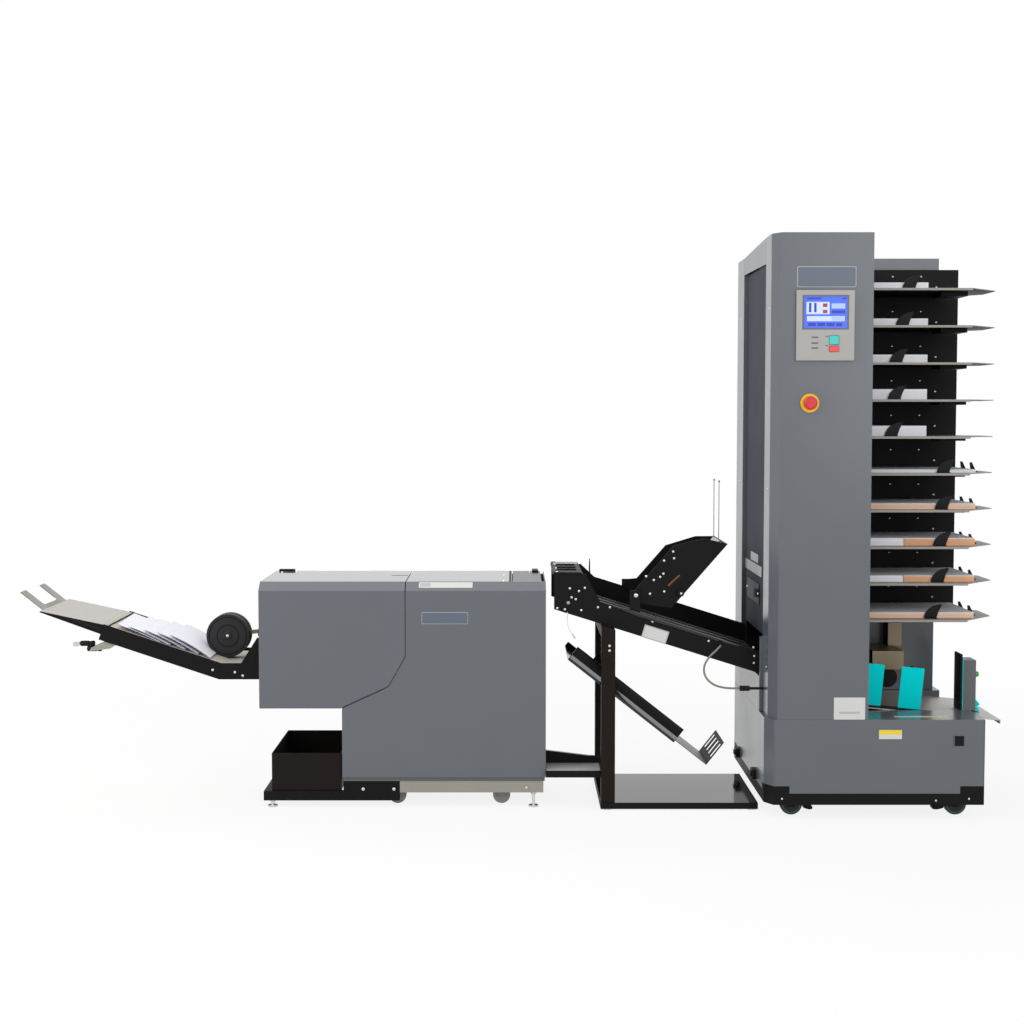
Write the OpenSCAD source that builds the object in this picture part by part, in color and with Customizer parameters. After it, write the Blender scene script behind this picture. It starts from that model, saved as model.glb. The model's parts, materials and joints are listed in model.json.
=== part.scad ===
// Booklet-making line: a suction collator tower, a bridge conveyor and a saddle-stitching
// booklet maker with a belt delivery, docked end to end. Millimetres, Z up from the floor.
// Pieces are drawn in line coordinates: X from the booklet maker's left face towards the
// tower, Y zero on the centre of the paper path, and placed() then centres the whole line.

/* [Sheet metal and fits] */
// Thickness of the painted covers and panels
cover_t = 3; // [2:0.5:4]
// Thickness of the black frame plates
plate_t = 4; // [3:0.5:5]
// Seam between pieces that sit against each other
seam = 0.3; // [0.2:0.05:0.5]
// Radial running clearance of a shaft in its hole
run_gap = 0.05; // [0.02:0.01:0.08]

/* [Booklet maker] */
// Length of the booklet maker along the line
maker_l = 982; // [940:1:1060]
// Depth of the booklet maker, front to back
maker_d = 440; // [430:1:480]
// Height of the booklet maker's top
maker_h = 776; // [765:1:800]
// Underside of the trimmer overhang
overhang_z = 343; // [330:1:355]
// Length of the trimmer overhang over the waste bin
overhang_l = 283; // [270:1:300]
// Underside of the stitcher cabinet
cabinet_z = 104; // [100:1:115]
// Place of the seam between the two hoods
hood_split_x = 501; // [490:1:520]
// Width of the seam between the two hoods
hood_gap = 3; // [2:0.5:5]
// Drop of the bevel along the hoods' front edge
bevel_h = 28; // [20:1:40]
// Depth of the bevel along the hoods' front edge
bevel_d = 40; // [30:1:50]
// Length of the fixed top strip over the sheet inlet
inlet_l = 113; // [90:1:130]
// Radius of the hood hinge barrels
hinge_r = 5.5; // [5:0.5:6]
// Radius of the hood hinge pins
hinge_pin_r = 2.5; // [2:0.25:3]
// Length of one hood hinge barrel
hinge_barrel_l = 40; // [30:1:50]
// Radius of the fold rollers
fold_r = 25; // [22:1:26]
// Gap of the fold rollers' nip
nip_gap = 2; // [1:0.5:4]
// Radius of the roller shafts
shaft_r = 8; // [6:0.5:9]
// Thickness of the fold knife
knife_t = 4; // [3:0.5:5]
// Thickness of the trim blade
blade_t = 6; // [4:0.5:8]

/* [Waste bin and undercarriage] */
// Length of the waste bin along the line
bin_l = 240; // [220:1:245]
// Height of the waste bin
bin_h = 130; // [110:1:150]
// Depth of the waste bin, front to back
bin_d = 410; // [380:1:420]
// Wall of the waste bin
bin_wall = 2.5; // [2:0.5:3]
// Section width of the undercarriage bars
bar_w = 20; // [16:1:24]
// Underside of the bin rack
rack_z = 22; // [18:1:26]
// Top of the bin rack's bars
rack_top_z = 55; // [50:1:60]
// Length of the bin rack along the line
rack_l = 469; // [460:1:480]
// Underside of the cabinet's undercarriage
under_z = 50; // [45:1:58]
// Thickness of the cabinet's floor pan
pan_t = 14; // [8:1:16]
// Radius of the levelling feet's pads
foot_r = 17; // [14:1:20]
// Radius of the booklet maker's caster wheels
maker_wheel_r = 30; // [26:1:32]
// Width of the booklet maker's caster wheels
maker_wheel_w = 22; // [18:1:26]

/* [Delivery] */
// Length of the level part of the delivery
level_l = 142; // [130:1:160]
// Length of the delivery's sloping rails
rail_l = 435; // [400:1:480]
// Slope of the delivery
delivery_slope = 18.5; // [15:0.5:21]
// Height of the delivery rails
rail_h = 56; // [52:1:60]
// Underside of the delivery's level part
delivery_z = 439; // [430:1:450]
// Half width between the delivery rails
delivery_half_w = 188; // [180:1:192]
// Radius of the delivery belt's end rollers
belt_roller_r = 13; // [11:1:14]
// Thickness of the belts
belt_t = 2; // [1.5:0.25:2.5]
// Length of the sliding tray past the rails
extension_l = 222; // [180:1:250]
// Length of the end prongs
prong_l = 100; // [80:1:130]
// Rise of the end prongs above the tray's slope
prong_tilt = 20; // [10:1:30]
// Radius of the press wheels
press_r = 76; // [70:1:80]
// Width of one press wheel
press_w = 28; // [24:1:34]

/* [Bridge] */
// Gap between the booklet maker and the tower
bridge_gap = 730; // [715:1:760]
// Slope of the bridge conveyor
bridge_slope = 17.4; // [15:0.2:18]
// Height of the bridge's side plates
bridge_plate_h = 72; // [68:1:78]
// Half width over the bridge's side plates
bridge_half_w = 205; // [198:1:208]
// Rise of the bridge's rear side plate over the front one
bridge_fence_h = 46; // [30:1:50]
// Underside of the bridge over the stand
bridge_z = 633; // [610:1:635]
// Top of the inlet end of the bridge
bridge_inlet_z = 802; // [792:1:815]
// Radius of the bridge's rollers
bridge_roller_r = 20; // [16:1:22]
// Tilt of the cover hopper
hopper_tilt = 49; // [45:1:55]
// Length of the cover hopper's floor
hopper_l = 342; // [330:1:370]
// Depth of the cover hopper's side plates
hopper_depth = 124; // [110:1:128]
// Half width over the cover hopper
hopper_half_w = 190; // [180:1:194]
// Height of the hopper's wire guides
wire_h = 215; // [150:1:260]
// Radius of the hopper's wire guides
wire_r = 1.6; // [1.5:0.1:3]

/* [Stand and reject tray] */
// Width of the stand's posts along the line
post_w = 47; // [40:1:54]
// Depth of the stand's posts
post_d = 40; // [30:1:46]
// Front of the stand
stand_front_y = -262; // [-275:1:-255]
// Rear of the stand
stand_rear_y = 183; // [182:1:195]
// Top of the stand's floor plate
stand_base_z = 27; // [26:1:36]
// Thickness of the stand's floor plate
stand_base_t = 22; // [16:1:23]
// Slope of the reject tray
reject_slope = 38.2; // [35:0.2:40]
// Length of the reject tray
reject_l = 466; // [440:1:490]
// Height of the reject tray's sides
reject_h = 57; // [45:1:62]
// Length of the reject tray's slide
reject_slide_l = 285; // [260:1:300]
// Height of the comb at the end of the slide
comb_h = 100; // [70:1:120]

/* [Collator tower] */
// Height of the tower
tower_h = 1944; // [1935:1:2050]
// Depth of the tower
tower_d = 760; // [740:1:820]
// Length of the tower's base along the line
tower_w = 730; // [715:1:780]
// Top of the base cabinet
base_top_z = 334; // [326:1:340]
// Underside of the base's skirt
skirt_z = 47; // [44:1:54]
// Top of the base's skirt
skirt_top_z = 85; // [82:1:90]
// Rise of the skirt's corner pieces
corner_h = 25; // [15:1:35]
// Length of the skirt's corner pieces
corner_l = 80; // [60:1:100]
// Length of the front cover along the line
front_cover_l = 340; // [325:1:360]
// Depth of the front and rear covers
side_cover_d = 160; // [150:1:168]
// Set-back of the front cover's left face from the base
front_inset = 11; // [6:1:14]
// Length of the bevel on the front left edge
edge_l = 26; // [20:1:36]
// Depth of the bevel on the front left edge
edge_d = 45; // [30:1:55]
// Height of the header between the covers
header_h = 89; // [70:1:92]
// Radius of the tower's caster wheels
tower_wheel_r = 37.5; // [34:0.5:38]
// Width of the tower's caster wheels
tower_wheel_w = 26; // [20:1:32]

/* [Bins] */
// Number of bins
bin_count = 10; // [8:1:10]
// Height of the lowest tray above the base
first_tray_h = 312; // [298:1:316]
// Clear height of the top bin under the header
top_bin_h = 77.7; // [70:0.1:90]
// Thickness of a tray
tray_t = 3; // [2:0.5:4]
// Depth of a tray's front lip
tray_lip = 8; // [6:1:12]
// Reach of the trays past the base
tray_overhang = 98; // [94:1:130]
// Half width of a tray
tray_half_w = 200; // [190:1:204]
// Half width of a tray's end
tray_end_half_w = 76; // [75:1:100]
// Length of a tray's tapered end
tray_taper = 112; // [80:1:125]
// Radius of the suction drums
drum_r = 28; // [24:1:30]
// Half width of the paper stacks
paper_half_w = 148; // [130:1:152]
// Height of the bin guides
guide_h = 48; // [42:1:56]

/* [Feed deck] */
// Slope of the feed deck
deck_slope = 5.4; // [4:0.2:5.6]
// Length of the feed deck
deck_l = 490; // [480:1:505]
// Half width of the channel that holds the deck
deck_half_w = 203; // [198:1:207]
// Height of the deck's side guides
deck_guide_h = 150; // [120:1:170]
// Length of one deck side guide
deck_guide_l = 78; // [70:1:96]
// Height of the deck's end stop
deck_stop_h = 205; // [150:1:220]

/* [Controls] */
// Width of the control panel's bezel
panel_w = 191; // [190:1:210]
// Height of the control panel's bezel
panel_h = 230; // [225:1:240]
// Thickness of the control panel's bezel
panel_t = 12; // [10:1:15]
// Width of the touch screen
screen_w = 152; // [140:1:170]
// Height of the touch screen
screen_h = 111; // [100:1:125]
// Radius of the emergency stop's head
estop_r = 22; // [18:1:24]
// Radius of the emergency stop's collar
collar_r = 31; // [28:1:36]
// Travel of the emergency stop
estop_travel = 6; // [4:0.5:7]
// Travel of the start and stop buttons
button_travel = 2; // [1.5:0.25:2.5]

/* [Hidden] */
$fn = 48;

// Overall places along the line
tower_x0 = maker_l + bridge_gap;
tower_x1 = tower_x0 + tower_w;
line_end_x = tower_x1 + tray_overhang;
half_d = tower_d / 2;
front_y = -half_d;

// The trays share the height between the base and the header
header_z = tower_h - header_h - seam;
first_tray_z = base_top_z + first_tray_h;
tray_pitch = (header_z - top_bin_h - first_tray_z) / (bin_count - 1);

// Sloping parts of the delivery, measured square to the slope from the rails' underside
belt_top_w = rail_h - 8;
ext_plate_w = belt_top_w + 2.5;
ext_tip_w = ext_plate_w - 25;
rail_end_x = -level_l - rail_l * cos(delivery_slope);
tray_reach_x = rail_end_x - extension_l * cos(delivery_slope) + ext_tip_w * sin(delivery_slope);
line_start_x = tray_reach_x - prong_l * cos(delivery_slope + prong_tilt);

// Control panel and emergency stop places on the front cover
panel_x = tower_x0 + 181;
panel_z = tower_h - 304;
estop_x = tower_x0 + 133;
estop_z = tower_h - 558;
collar_t = 8;
estop_head_t = 14;
estop_front_y = front_y - seam - collar_t - estop_travel - 1 - estop_head_t;

// The line is centred on the floor
centre_x = (line_start_x + line_end_x) / 2;
centre_y = (estop_front_y + half_d) / 2;

module placed() { translate([-centre_x, -centre_y, 0]) children(); }

// Shared shapes

// Box between two corners
module block(low, high) { translate(low) cube(high - low); }

// Plate with an outline in X and Z, t thick, its front face at y
module xz_plate(points, y, t) {
  translate([0, y + t, 0]) rotate([90, 0, 0]) linear_extrude(t) polygon(points);
}

// Prism with an outline in Y and Z, from x and l long
module yz_prism(points, x, l) {
  translate([x, 0, 0]) rotate([90, 0, 90]) linear_extrude(l) polygon(points);
}

// Round bar along Y
module y_rod(x, z, r, y0, y1) {
  translate([x, y1, z]) rotate([90, 0, 0]) cylinder(r = r, h = y1 - y0);
}

// Round bar along X
module x_rod(y, z, r, x0, x1) {
  translate([x0, y, z]) rotate([0, 90, 0]) cylinder(r = r, h = x1 - x0);
}

// Both sides of the centre plane
module both_sides() {
  children();
  mirror([0, 1, 0]) children();
}

// Points of an arc about a centre
function arc(c, r, a0, a1, n) = [for (i = [0:n]) let (a = a0 + (a1 - a0) * i / n) c + r * [cos(a), sin(a)]];

// Outline of a flat belt run of length l along X round two rollers
function belt_outline(l, r) = concat(arc([0, 0], r, 90, 270, 12), arc([l, 0], r, -90, 90, 12));

// Closed flat belt between two rollers, w wide about y
module belt_loop(l, r, y, w) {
  translate([0, y + w / 2, 0]) rotate([90, 0, 0]) linear_extrude(w) difference() {
    polygon(belt_outline(l, r + seam + belt_t));
    polygon(belt_outline(l, r + seam));
  }
}

// Roller with a shaft at both ends
module roller(x, z, r, half_l, shaft, shaft_half_l) {
  y_rod(x, z, r, -half_l, half_l);
  y_rod(x, z, shaft, -shaft_half_l, shaft_half_l);
}

// Booklet maker

maker_y = maker_d / 2;
bevel_z = maker_h - bevel_h;
inlet_x = maker_l - inlet_l;
hinge_y = maker_y - 6;
hinge_z = maker_h - hinge_r - 0.5;
hood_back_y = hinge_y - hinge_r - 2.5;
barrel_gap = 0.5;
lug_l = 24;
left_hinges = [60, hood_split_x - 150];
right_hinges = [hood_split_x + 60, inlet_x - 120];
kink_z = overhang_z + 178;
kink_x = hood_split_x - 59;
kink_low_z = overhang_z + 75;

// Seam between the hoods on the front, from the top down to the cabinet's corner
function hood_seam(side) = let (g = side * hood_gap / 2) [
  [hood_split_x + g, bevel_z], [hood_split_x + g, kink_z - g],
  [kink_x + g, kink_low_z - g], [overhang_l + g, overhang_z + 2 - g]];

function reversed(list) = [for (i = [len(list) - 1:-1:0]) list[i]];

// Inner line of the bevel, one cover thickness inside
bevel_len = sqrt(pow(bevel_h, 2) + pow(bevel_d, 2));
bevel_in_y = cover_t * bevel_h / bevel_len;
bevel_in_z = cover_t * bevel_d / bevel_len;
bevel_low_z = bevel_z - bevel_in_z + (cover_t - bevel_in_y) * bevel_h / bevel_d;
bevel_top_y = -maker_y + bevel_in_y + (bevel_h - cover_t + bevel_in_z) * bevel_d / bevel_h;

// Section of a hood's bevel and top, back to y
function hood_section(y) = [
  [-maker_y, bevel_z], [-maker_y + bevel_d, maker_h], [y, maker_h], [y, maker_h - cover_t],
  [bevel_top_y, maker_h - cover_t], [-maker_y + cover_t, bevel_low_z]];

// Hinge barrel of a hood, with the strip of top that carries it
module hood_barrel(x) {
  x0 = x + lug_l + barrel_gap;
  difference() {
    union() {
      x_rod(hinge_y, hinge_z, hinge_r, x0, x0 + hinge_barrel_l);
      block([x0, hood_back_y - 5, maker_h - cover_t], [x0 + hinge_barrel_l, hinge_y, maker_h]);
    }
    x_rod(hinge_y, hinge_z, hinge_pin_r + run_gap, x0 - 1, x0 + hinge_barrel_l + 1);
  }
}

module left_hood() {
  color("slategray") {
    xz_plate(concat([[0, bevel_z], [0, overhang_z], [overhang_l - hood_gap, overhang_z]],
      reversed(hood_seam(-1))), -maker_y, cover_t);
    yz_prism(hood_section(hood_back_y), 0, hood_split_x - hood_gap / 2);
    for (x = left_hinges) hood_barrel(x);
  }
}

module right_hood() {
  x0 = hood_split_x + hood_gap / 2;
  color("slategray") {
    xz_plate(concat(hood_seam(1), [[overhang_l, overhang_z - hood_gap], [overhang_l, cabinet_z],
      [maker_l, cabinet_z], [maker_l, bevel_z]]), -maker_y, cover_t);
    yz_prism(hood_section(bevel_top_y + cover_t), x0, maker_l - x0);
    yz_prism(hood_section(hood_back_y), x0, inlet_x - hood_gap - x0);
    for (x = right_hinges) hood_barrel(x);
  }
}

// Rear wall with the fixed hinge lugs and the pins
module rear_wall() {
  top_z = hinge_z - hinge_r;
  xz_plate([[0, overhang_z], [overhang_l, overhang_z], [overhang_l, cabinet_z],
    [maker_l, cabinet_z], [maker_l, top_z], [0, top_z]], maker_y - cover_t, cover_t);
  for (x = concat(left_hinges, right_hinges)) {
    far_x = x + lug_l + hinge_barrel_l + 2 * barrel_gap;
    for (x0 = [x, far_x]) {
      x_rod(hinge_y, hinge_z, hinge_r, x0, x0 + lug_l);
      block([x0, hinge_y, top_z - 6], [x0 + lug_l, maker_y, hinge_z]);
    }
    x_rod(hinge_y, hinge_z, hinge_pin_r, x, far_x + lug_l);
  }
}

wall_y = maker_y - cover_t - seam;
slot_half_w = 172;
exit_slot_z = [delivery_z + 62, delivery_z + 121];
inlet_slot_z = [maker_h - 66, maker_h - 26];
chute_x = [110, 210];
inlet_gap = 14;

// End wall of the cabinet with a slot for the paper
module end_wall(x, z, slot) {
  difference() {
    yz_prism([[-wall_y, z], [wall_y, z], [wall_y, maker_h - cover_t - seam],
      [bevel_top_y + 0.4, maker_h - cover_t - seam], [-wall_y, bevel_low_z - 0.4]], x, cover_t);
    block([x - 1, -slot_half_w, slot[0]], [x + cover_t + 1, slot_half_w, slot[1]]);
  }
}

// Rear and end walls, floors and the fixed strip over the sheet inlet
module maker_panels() {
  in_y = maker_y - cover_t - 4;
  color("dimgray") {
    rear_wall();
    end_wall(0, overhang_z + cover_t + seam, exit_slot_z);
    end_wall(maker_l - cover_t, cabinet_z + seam, inlet_slot_z);
    difference() {
      block([0, -wall_y, overhang_z], [overhang_l, wall_y, overhang_z + cover_t]);
      block([chute_x[0], -slot_half_w, overhang_z - 1],
        [chute_x[1], slot_half_w, overhang_z + cover_t + 1]);
    }
    block([overhang_l, -wall_y, cabinet_z + seam], [overhang_l + cover_t, wall_y, overhang_z - seam]);
    block([inlet_x, bevel_top_y + cover_t + seam, maker_h - cover_t],
      [maker_l - inlet_gap, hood_back_y, maker_h]);
    block([overhang_l + cover_t, -in_y, cabinet_z - pan_t], [maker_l - cover_t - seam, in_y, cabinet_z]);
  }
}

// Inner frame of the stitcher and trimmer

frame_y = maker_y - 30;
inner_y = frame_y - plate_t;
fold_x = hood_split_x - 31;
fold_z = delivery_z + 82;
fold_drop = fold_r + nip_gap / 2;
frame_top_z = maker_h - 40;
stitch_x = maker_l - 217;
stitch_travel = 16;
table_drop = 65;
table_lead = 170;
table_z = inlet_slot_z[0] - table_drop;
clinch_w = 40;
clinch_gap = 4;
head_w = 50;
head_d = 40;
head_h = 66;
head_half_gap = 40;
head_bar_w = 30;
head_bar_h = 23;
head_bar_lift = 35;
trim_x = 150;
trim_travel = 60;
trim_bar_h = 30;
trim_bar_drop = 76;
trim_half_w = 180;
anvil_z = fold_z - 23;
anvil_h = 28;
knife_half_w = 165;
knife_l = 110;
knife_bar_w = 40;
knife_bar_h = 32;
knife_lead = 60;
motor_r = 45;

// Side plates with the roller holes, tie bars, stitching table, clincher, anvil and motor
module maker_frame() {
  outline = [[8, overhang_z + cover_t + seam], [overhang_l + 8, overhang_z + cover_t + seam],
    [overhang_l + 8, cabinet_z + seam], [maker_l - 8, cabinet_z + seam], [maker_l - 8, frame_top_z],
    [8, frame_top_z]];
  bar_y = inner_y - seam;
  color("darkgray") {
    difference() {
      both_sides() xz_plate(outline, -frame_y, plate_t);
      for (s = [-1, 1]) y_rod(fold_x, fold_z + s * fold_drop, shaft_r + run_gap, -frame_y - 1, frame_y + 1);
    }
    for (p = [[40, overhang_z + 40], [40, frame_top_z - 30], [maker_l - 40, cabinet_z + 30],
      [maker_l - 40, inlet_slot_z[0] - 40]]) y_rod(p[0], p[1], shaft_r, -bar_y, bar_y);
    block([trim_x - 12, -bar_y, anvil_z - anvil_h], [trim_x + 20, bar_y, anvil_z]);
    block([stitch_x - table_lead, -bar_y, table_z], [maker_l - 50, bar_y, table_z + cover_t]);
    block([stitch_x - clinch_w / 2, -bar_y, table_z - clinch_gap - clinch_w],
      [stitch_x + clinch_w / 2, bar_y, table_z - clinch_gap]);
    y_rod(maker_l - 120, cabinet_z + 96, motor_r, -100, 60);
    block([maker_l - 160, -90, cabinet_z + seam], [maker_l - 80, 50, cabinet_z + 60]);
  }
}

// Pair of stitching heads on their cross bar
module stitch_heads() {
  bar_y = inner_y - seam;
  foot_z = table_z + cover_t + stitch_travel + 1;
  color("silver") {
    block([stitch_x - head_bar_w / 2, -bar_y, foot_z + head_bar_lift],
      [stitch_x + head_bar_w / 2, bar_y, foot_z + head_bar_lift + head_bar_h]);
    both_sides() block([stitch_x - head_w / 2, head_half_gap, foot_z],
      [stitch_x + head_w / 2, head_half_gap + head_d, foot_z + head_h]);
  }
}

module fold_knife() {
  tip_x = fold_x + knife_lead;
  bar_x = tip_x + knife_l;
  color("silver") {
    block([tip_x, -knife_half_w, fold_z - knife_t / 2], [bar_x, knife_half_w, fold_z + knife_t / 2]);
    block([bar_x, -inner_y + seam, fold_z - knife_bar_h / 2],
      [bar_x + knife_bar_w, inner_y - seam, fold_z + knife_bar_h / 2]);
  }
}

module upper_fold_roller() {
  color("black") roller(fold_x, fold_z + fold_drop, fold_r, inner_y - 0.5, shaft_r, frame_y - seam);
}

module lower_fold_roller() {
  color("black") roller(fold_x, fold_z - fold_drop, fold_r, inner_y - 0.5, shaft_r, frame_y - seam);
}

module trim_blade() {
  edge_z = anvil_z + trim_travel + 2;
  bar_z = frame_top_z - trim_bar_drop;
  color("silver") {
    block([trim_x, -trim_half_w, edge_z], [trim_x + blade_t, trim_half_w, bar_z]);
    block([trim_x - 8, -inner_y + seam, bar_z], [trim_x + blade_t + 8, inner_y - seam, bar_z + trim_bar_h]);
  }
}

// Undercarriage and waste bin

bar_y = maker_y - 7;
rack_x = 11;
rack_end_x = rack_x + rack_l;
under_top_z = cabinet_z - pan_t - seam;
bin_x = overhang_l - bin_l - 4;

// Long bar of the rack, with the riser that carries the cabinet
module rack_bar() {
  xz_plate([[rack_x, rack_z], [rack_end_x - seam, rack_z], [rack_end_x - seam, under_top_z],
    [overhang_l + 3, under_top_z], [overhang_l + 3, rack_top_z], [rack_x, rack_top_z]], -bar_y, bar_w);
}

module bin_rack() {
  color("black") {
    both_sides() rack_bar();
    for (x = [rack_x, rack_x + 220, rack_x + 380])
      block([x, -bar_y + bar_w - 1, rack_z], [x + bar_w, bar_y - bar_w + 1, rack_top_z]);
  }
}

module waste_bin() {
  z = rack_top_z + seam;
  color("black") difference() {
    block([bin_x, -bin_d / 2, z], [bin_x + bin_l, bin_d / 2, z + bin_h]);
    block([bin_x + bin_wall, -bin_d / 2 + bin_wall, z + bin_wall],
      [bin_x + bin_l - bin_wall, bin_d / 2 - bin_wall, z + bin_h + 1]);
  }
}

module under_frame() {
  end_x = maker_l - 8;
  color("antiquewhite") {
    both_sides() block([rack_end_x, -bar_y, under_z], [end_x, -bar_y + bar_w, under_top_z]);
    for (x = [rack_end_x + 40, (rack_end_x + end_x) / 2, end_x - bar_w])
      block([x, -bar_y + bar_w - 1, under_z], [x + bar_w, bar_y - bar_w + 1, under_top_z]);
  }
}

maker_feet = [[rack_x + 30, rack_z], [maker_l - 42, under_z]];
stand_feet_x = [maker_l + 210, tower_x0 - 26];
pad_h = 6;

// Levelling foot with its stem up to a frame at height z
module foot(x, y, z) {
  translate([x, y, 0]) {
    cylinder(r = foot_r, h = min(pad_h, z - seam));
    cylinder(r = 5, h = z - seam);
  }
}

module levelling_feet() {
  color("gainsboro") {
    for (f = maker_feet) for (s = [-1, 1]) foot(f[0], s * (bar_y - bar_w / 2), f[1]);
    for (x = stand_feet_x) for (y = [stand_front_y + 20, stand_rear_y - 20])
      foot(x, y, stand_base_z - stand_base_t);
  }
}

maker_caster_x = [rack_end_x - 11, maker_l - 152];
maker_caster_y = bar_y - bar_w - 43;
tower_caster_x = [tower_x0 + 96, tower_x1 - 80];
tower_caster_y = half_d - 71;
tower_pan_t = 4;
axle_r = 6;
cheek_t = 3;
wheel_lift = 0.5;

// Caster fork with its axle: wheel radius r, width w, hub height z, mounting face at top_z
module fork(x, y, r, w, z, top_z) {
  cheek_y = w / 2 + 1;
  translate([x, y, 0]) {
    block([-r * 0.8, -cheek_y - cheek_t, top_z - 4], [r * 0.8, cheek_y + cheek_t, top_z]);
    both_sides() block([-12, cheek_y, z - 10], [12, cheek_y + cheek_t, top_z - 3]);
    y_rod(0, z, axle_r, -cheek_y - cheek_t, cheek_y + cheek_t);
  }
}

// Foot brake at the side of a tower caster
module brake(x, y) {
  side_y = tower_wheel_w / 2 + 1;
  z = tower_wheel_r + 1;
  translate([x, y, 0]) {
    both_sides() block([10, side_y, z], [tower_wheel_r + 26, side_y + cheek_t, z + 8]);
    block([tower_wheel_r + 6, -side_y - 1, z], [tower_wheel_r + 26, side_y + 1, z + 4]);
  }
}

module caster_forks() {
  color("dimgray") {
    for (x = maker_caster_x) for (s = [-1, 1])
      fork(x, s * maker_caster_y, maker_wheel_r, maker_wheel_w, maker_wheel_r + wheel_lift,
        under_top_z);
    for (x = tower_caster_x) for (s = [-1, 1]) {
      fork(x, s * tower_caster_y, tower_wheel_r, tower_wheel_w, tower_wheel_r,
        skirt_top_z - tower_pan_t - seam);
      brake(x, s * tower_caster_y);
    }
  }
}

// Front and rear wheel of one caster pair, on a common axis
module wheel_pair(x, y, r, w, z) {
  difference() {
    for (s = [-1, 1]) y_rod(x, z, r, s * y - w / 2, s * y + w / 2);
    y_rod(x, z, axle_r + run_gap, -y - w, y + w);
  }
}

module maker_wheels(i) {
  color("gray") wheel_pair(maker_caster_x[i], maker_caster_y, maker_wheel_r, maker_wheel_w,
    maker_wheel_r + wheel_lift);
}

module tower_wheels(i) {
  color("darkslategray") wheel_pair(tower_caster_x[i], tower_caster_y, tower_wheel_r, tower_wheel_w,
    tower_wheel_r);
}

// Delivery

slope_tan = tan(delivery_slope);
rail_top_z = delivery_z + rail_h;
belt_mid_w = belt_top_w - belt_t - seam - belt_roller_r;
belt_half_w = 165;
bend_shift = rail_h * tan(delivery_slope / 2);

// Frame of the delivery's slope: +X up the slope away from the machine, Z square to the tray
module slope_frame() {
  translate([-level_l, 0, delivery_z]) mirror([1, 0, 0]) rotate([0, -delivery_slope, 0]) children();
}

// Side rail: level part, sloping part and the gusset at the machine
module delivery_rail() {
  end_low = [rail_end_x, delivery_z + rail_l * sin(delivery_slope)];
  end_high = end_low + rail_h * [sin(delivery_slope), cos(delivery_slope)];
  xz_plate([[-seam, delivery_z], [-seam, rail_top_z + 88], [-10, rail_top_z + 88], [-66, rail_top_z],
    [-level_l + bend_shift, rail_top_z], end_high, end_low, [-level_l, delivery_z]],
    -delivery_half_w - plate_t, plate_t);
}

press_x = -138;
bend_top_x = -level_l + belt_top_w * tan(delivery_slope / 2);
press_lift = (press_r + seam + (bend_top_x - press_x) * sin(delivery_slope)) / cos(delivery_slope);
press_z = delivery_z + belt_top_w + press_lift;
arm_pivot = [-16, press_z + 14];
arm_pin_r = 4;
arm_y = press_w + 14;
arm_t = 6;
arm_w = 14;

// Rails, nose bar, cross ties and the lugs of the press arm
module delivery_frame() {
  tie_y = delivery_half_w - seam;
  color("black") {
    difference() {
      both_sides() delivery_rail();
      slope_frame() y_rod(rail_l - 20, belt_mid_w, shaft_r + run_gap,
        -delivery_half_w - 10, delivery_half_w + 10);
    }
    y_rod(-belt_roller_r - belt_t - 6, delivery_z + belt_mid_w, belt_roller_r, -tie_y, tie_y);
    y_rod(-level_l, delivery_z + 10, 6, -tie_y, tie_y);
    slope_frame() y_rod(rail_l * 0.6, 8, 6, -tie_y, tie_y);
    both_sides() difference() {
      block([arm_pivot[0] - 12, arm_y + arm_t + 1, arm_pivot[1] - 12],
        [-seam, arm_y + arm_t + 9, arm_pivot[1] + 12]);
      y_rod(arm_pivot[0], arm_pivot[1], arm_pin_r + run_gap, 0, arm_y + 40);
    }
  }
}

// Outline of the belt: level run, bend and slope, offset r from its middle line
function delivery_belt_outline(r) = let (
  a = [-belt_roller_r - belt_t - 6, delivery_z + belt_mid_w],
  bend = [-level_l + belt_mid_w * tan(delivery_slope / 2), delivery_z + belt_mid_w],
  up = [-cos(delivery_slope), sin(delivery_slope)],
  normal = [sin(delivery_slope), cos(delivery_slope)],
  c = bend + (rail_l - 20 - belt_mid_w * tan(delivery_slope / 2)) * up,
  k = r * tan(delivery_slope / 2))
  concat(arc(a, r, -90, 90, 12), [bend + [k, r]],
    arc(c, r, 90 - delivery_slope, 270 - delivery_slope, 12), [bend + [-k, -r]]);

module delivery_belt() {
  r = belt_roller_r + seam;
  color("antiquewhite") difference() {
    xz_plate(delivery_belt_outline(r + belt_t), -belt_half_w, 2 * belt_half_w);
    xz_plate(delivery_belt_outline(r), -belt_half_w - 1, 2 * belt_half_w + 2);
  }
}

module delivery_roller() {
  color("silver") slope_frame()
    roller(rail_l - 20, belt_mid_w, belt_roller_r, belt_half_w + 6, shaft_r,
      delivery_half_w + plate_t - seam);
}

ext_side_y = delivery_half_w - seam;
ext_bar_w = 8;
ext_t = 3;
ext_low_w = 19;
ext_guide_w = belt_mid_w + shaft_r + 4.5;
ext_root = 110;
ext_plate_u = rail_l - 12;
ext_skirt_u = rail_l + 1.5;
prong_half_gap = 114;
prong_w = 62;

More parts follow.
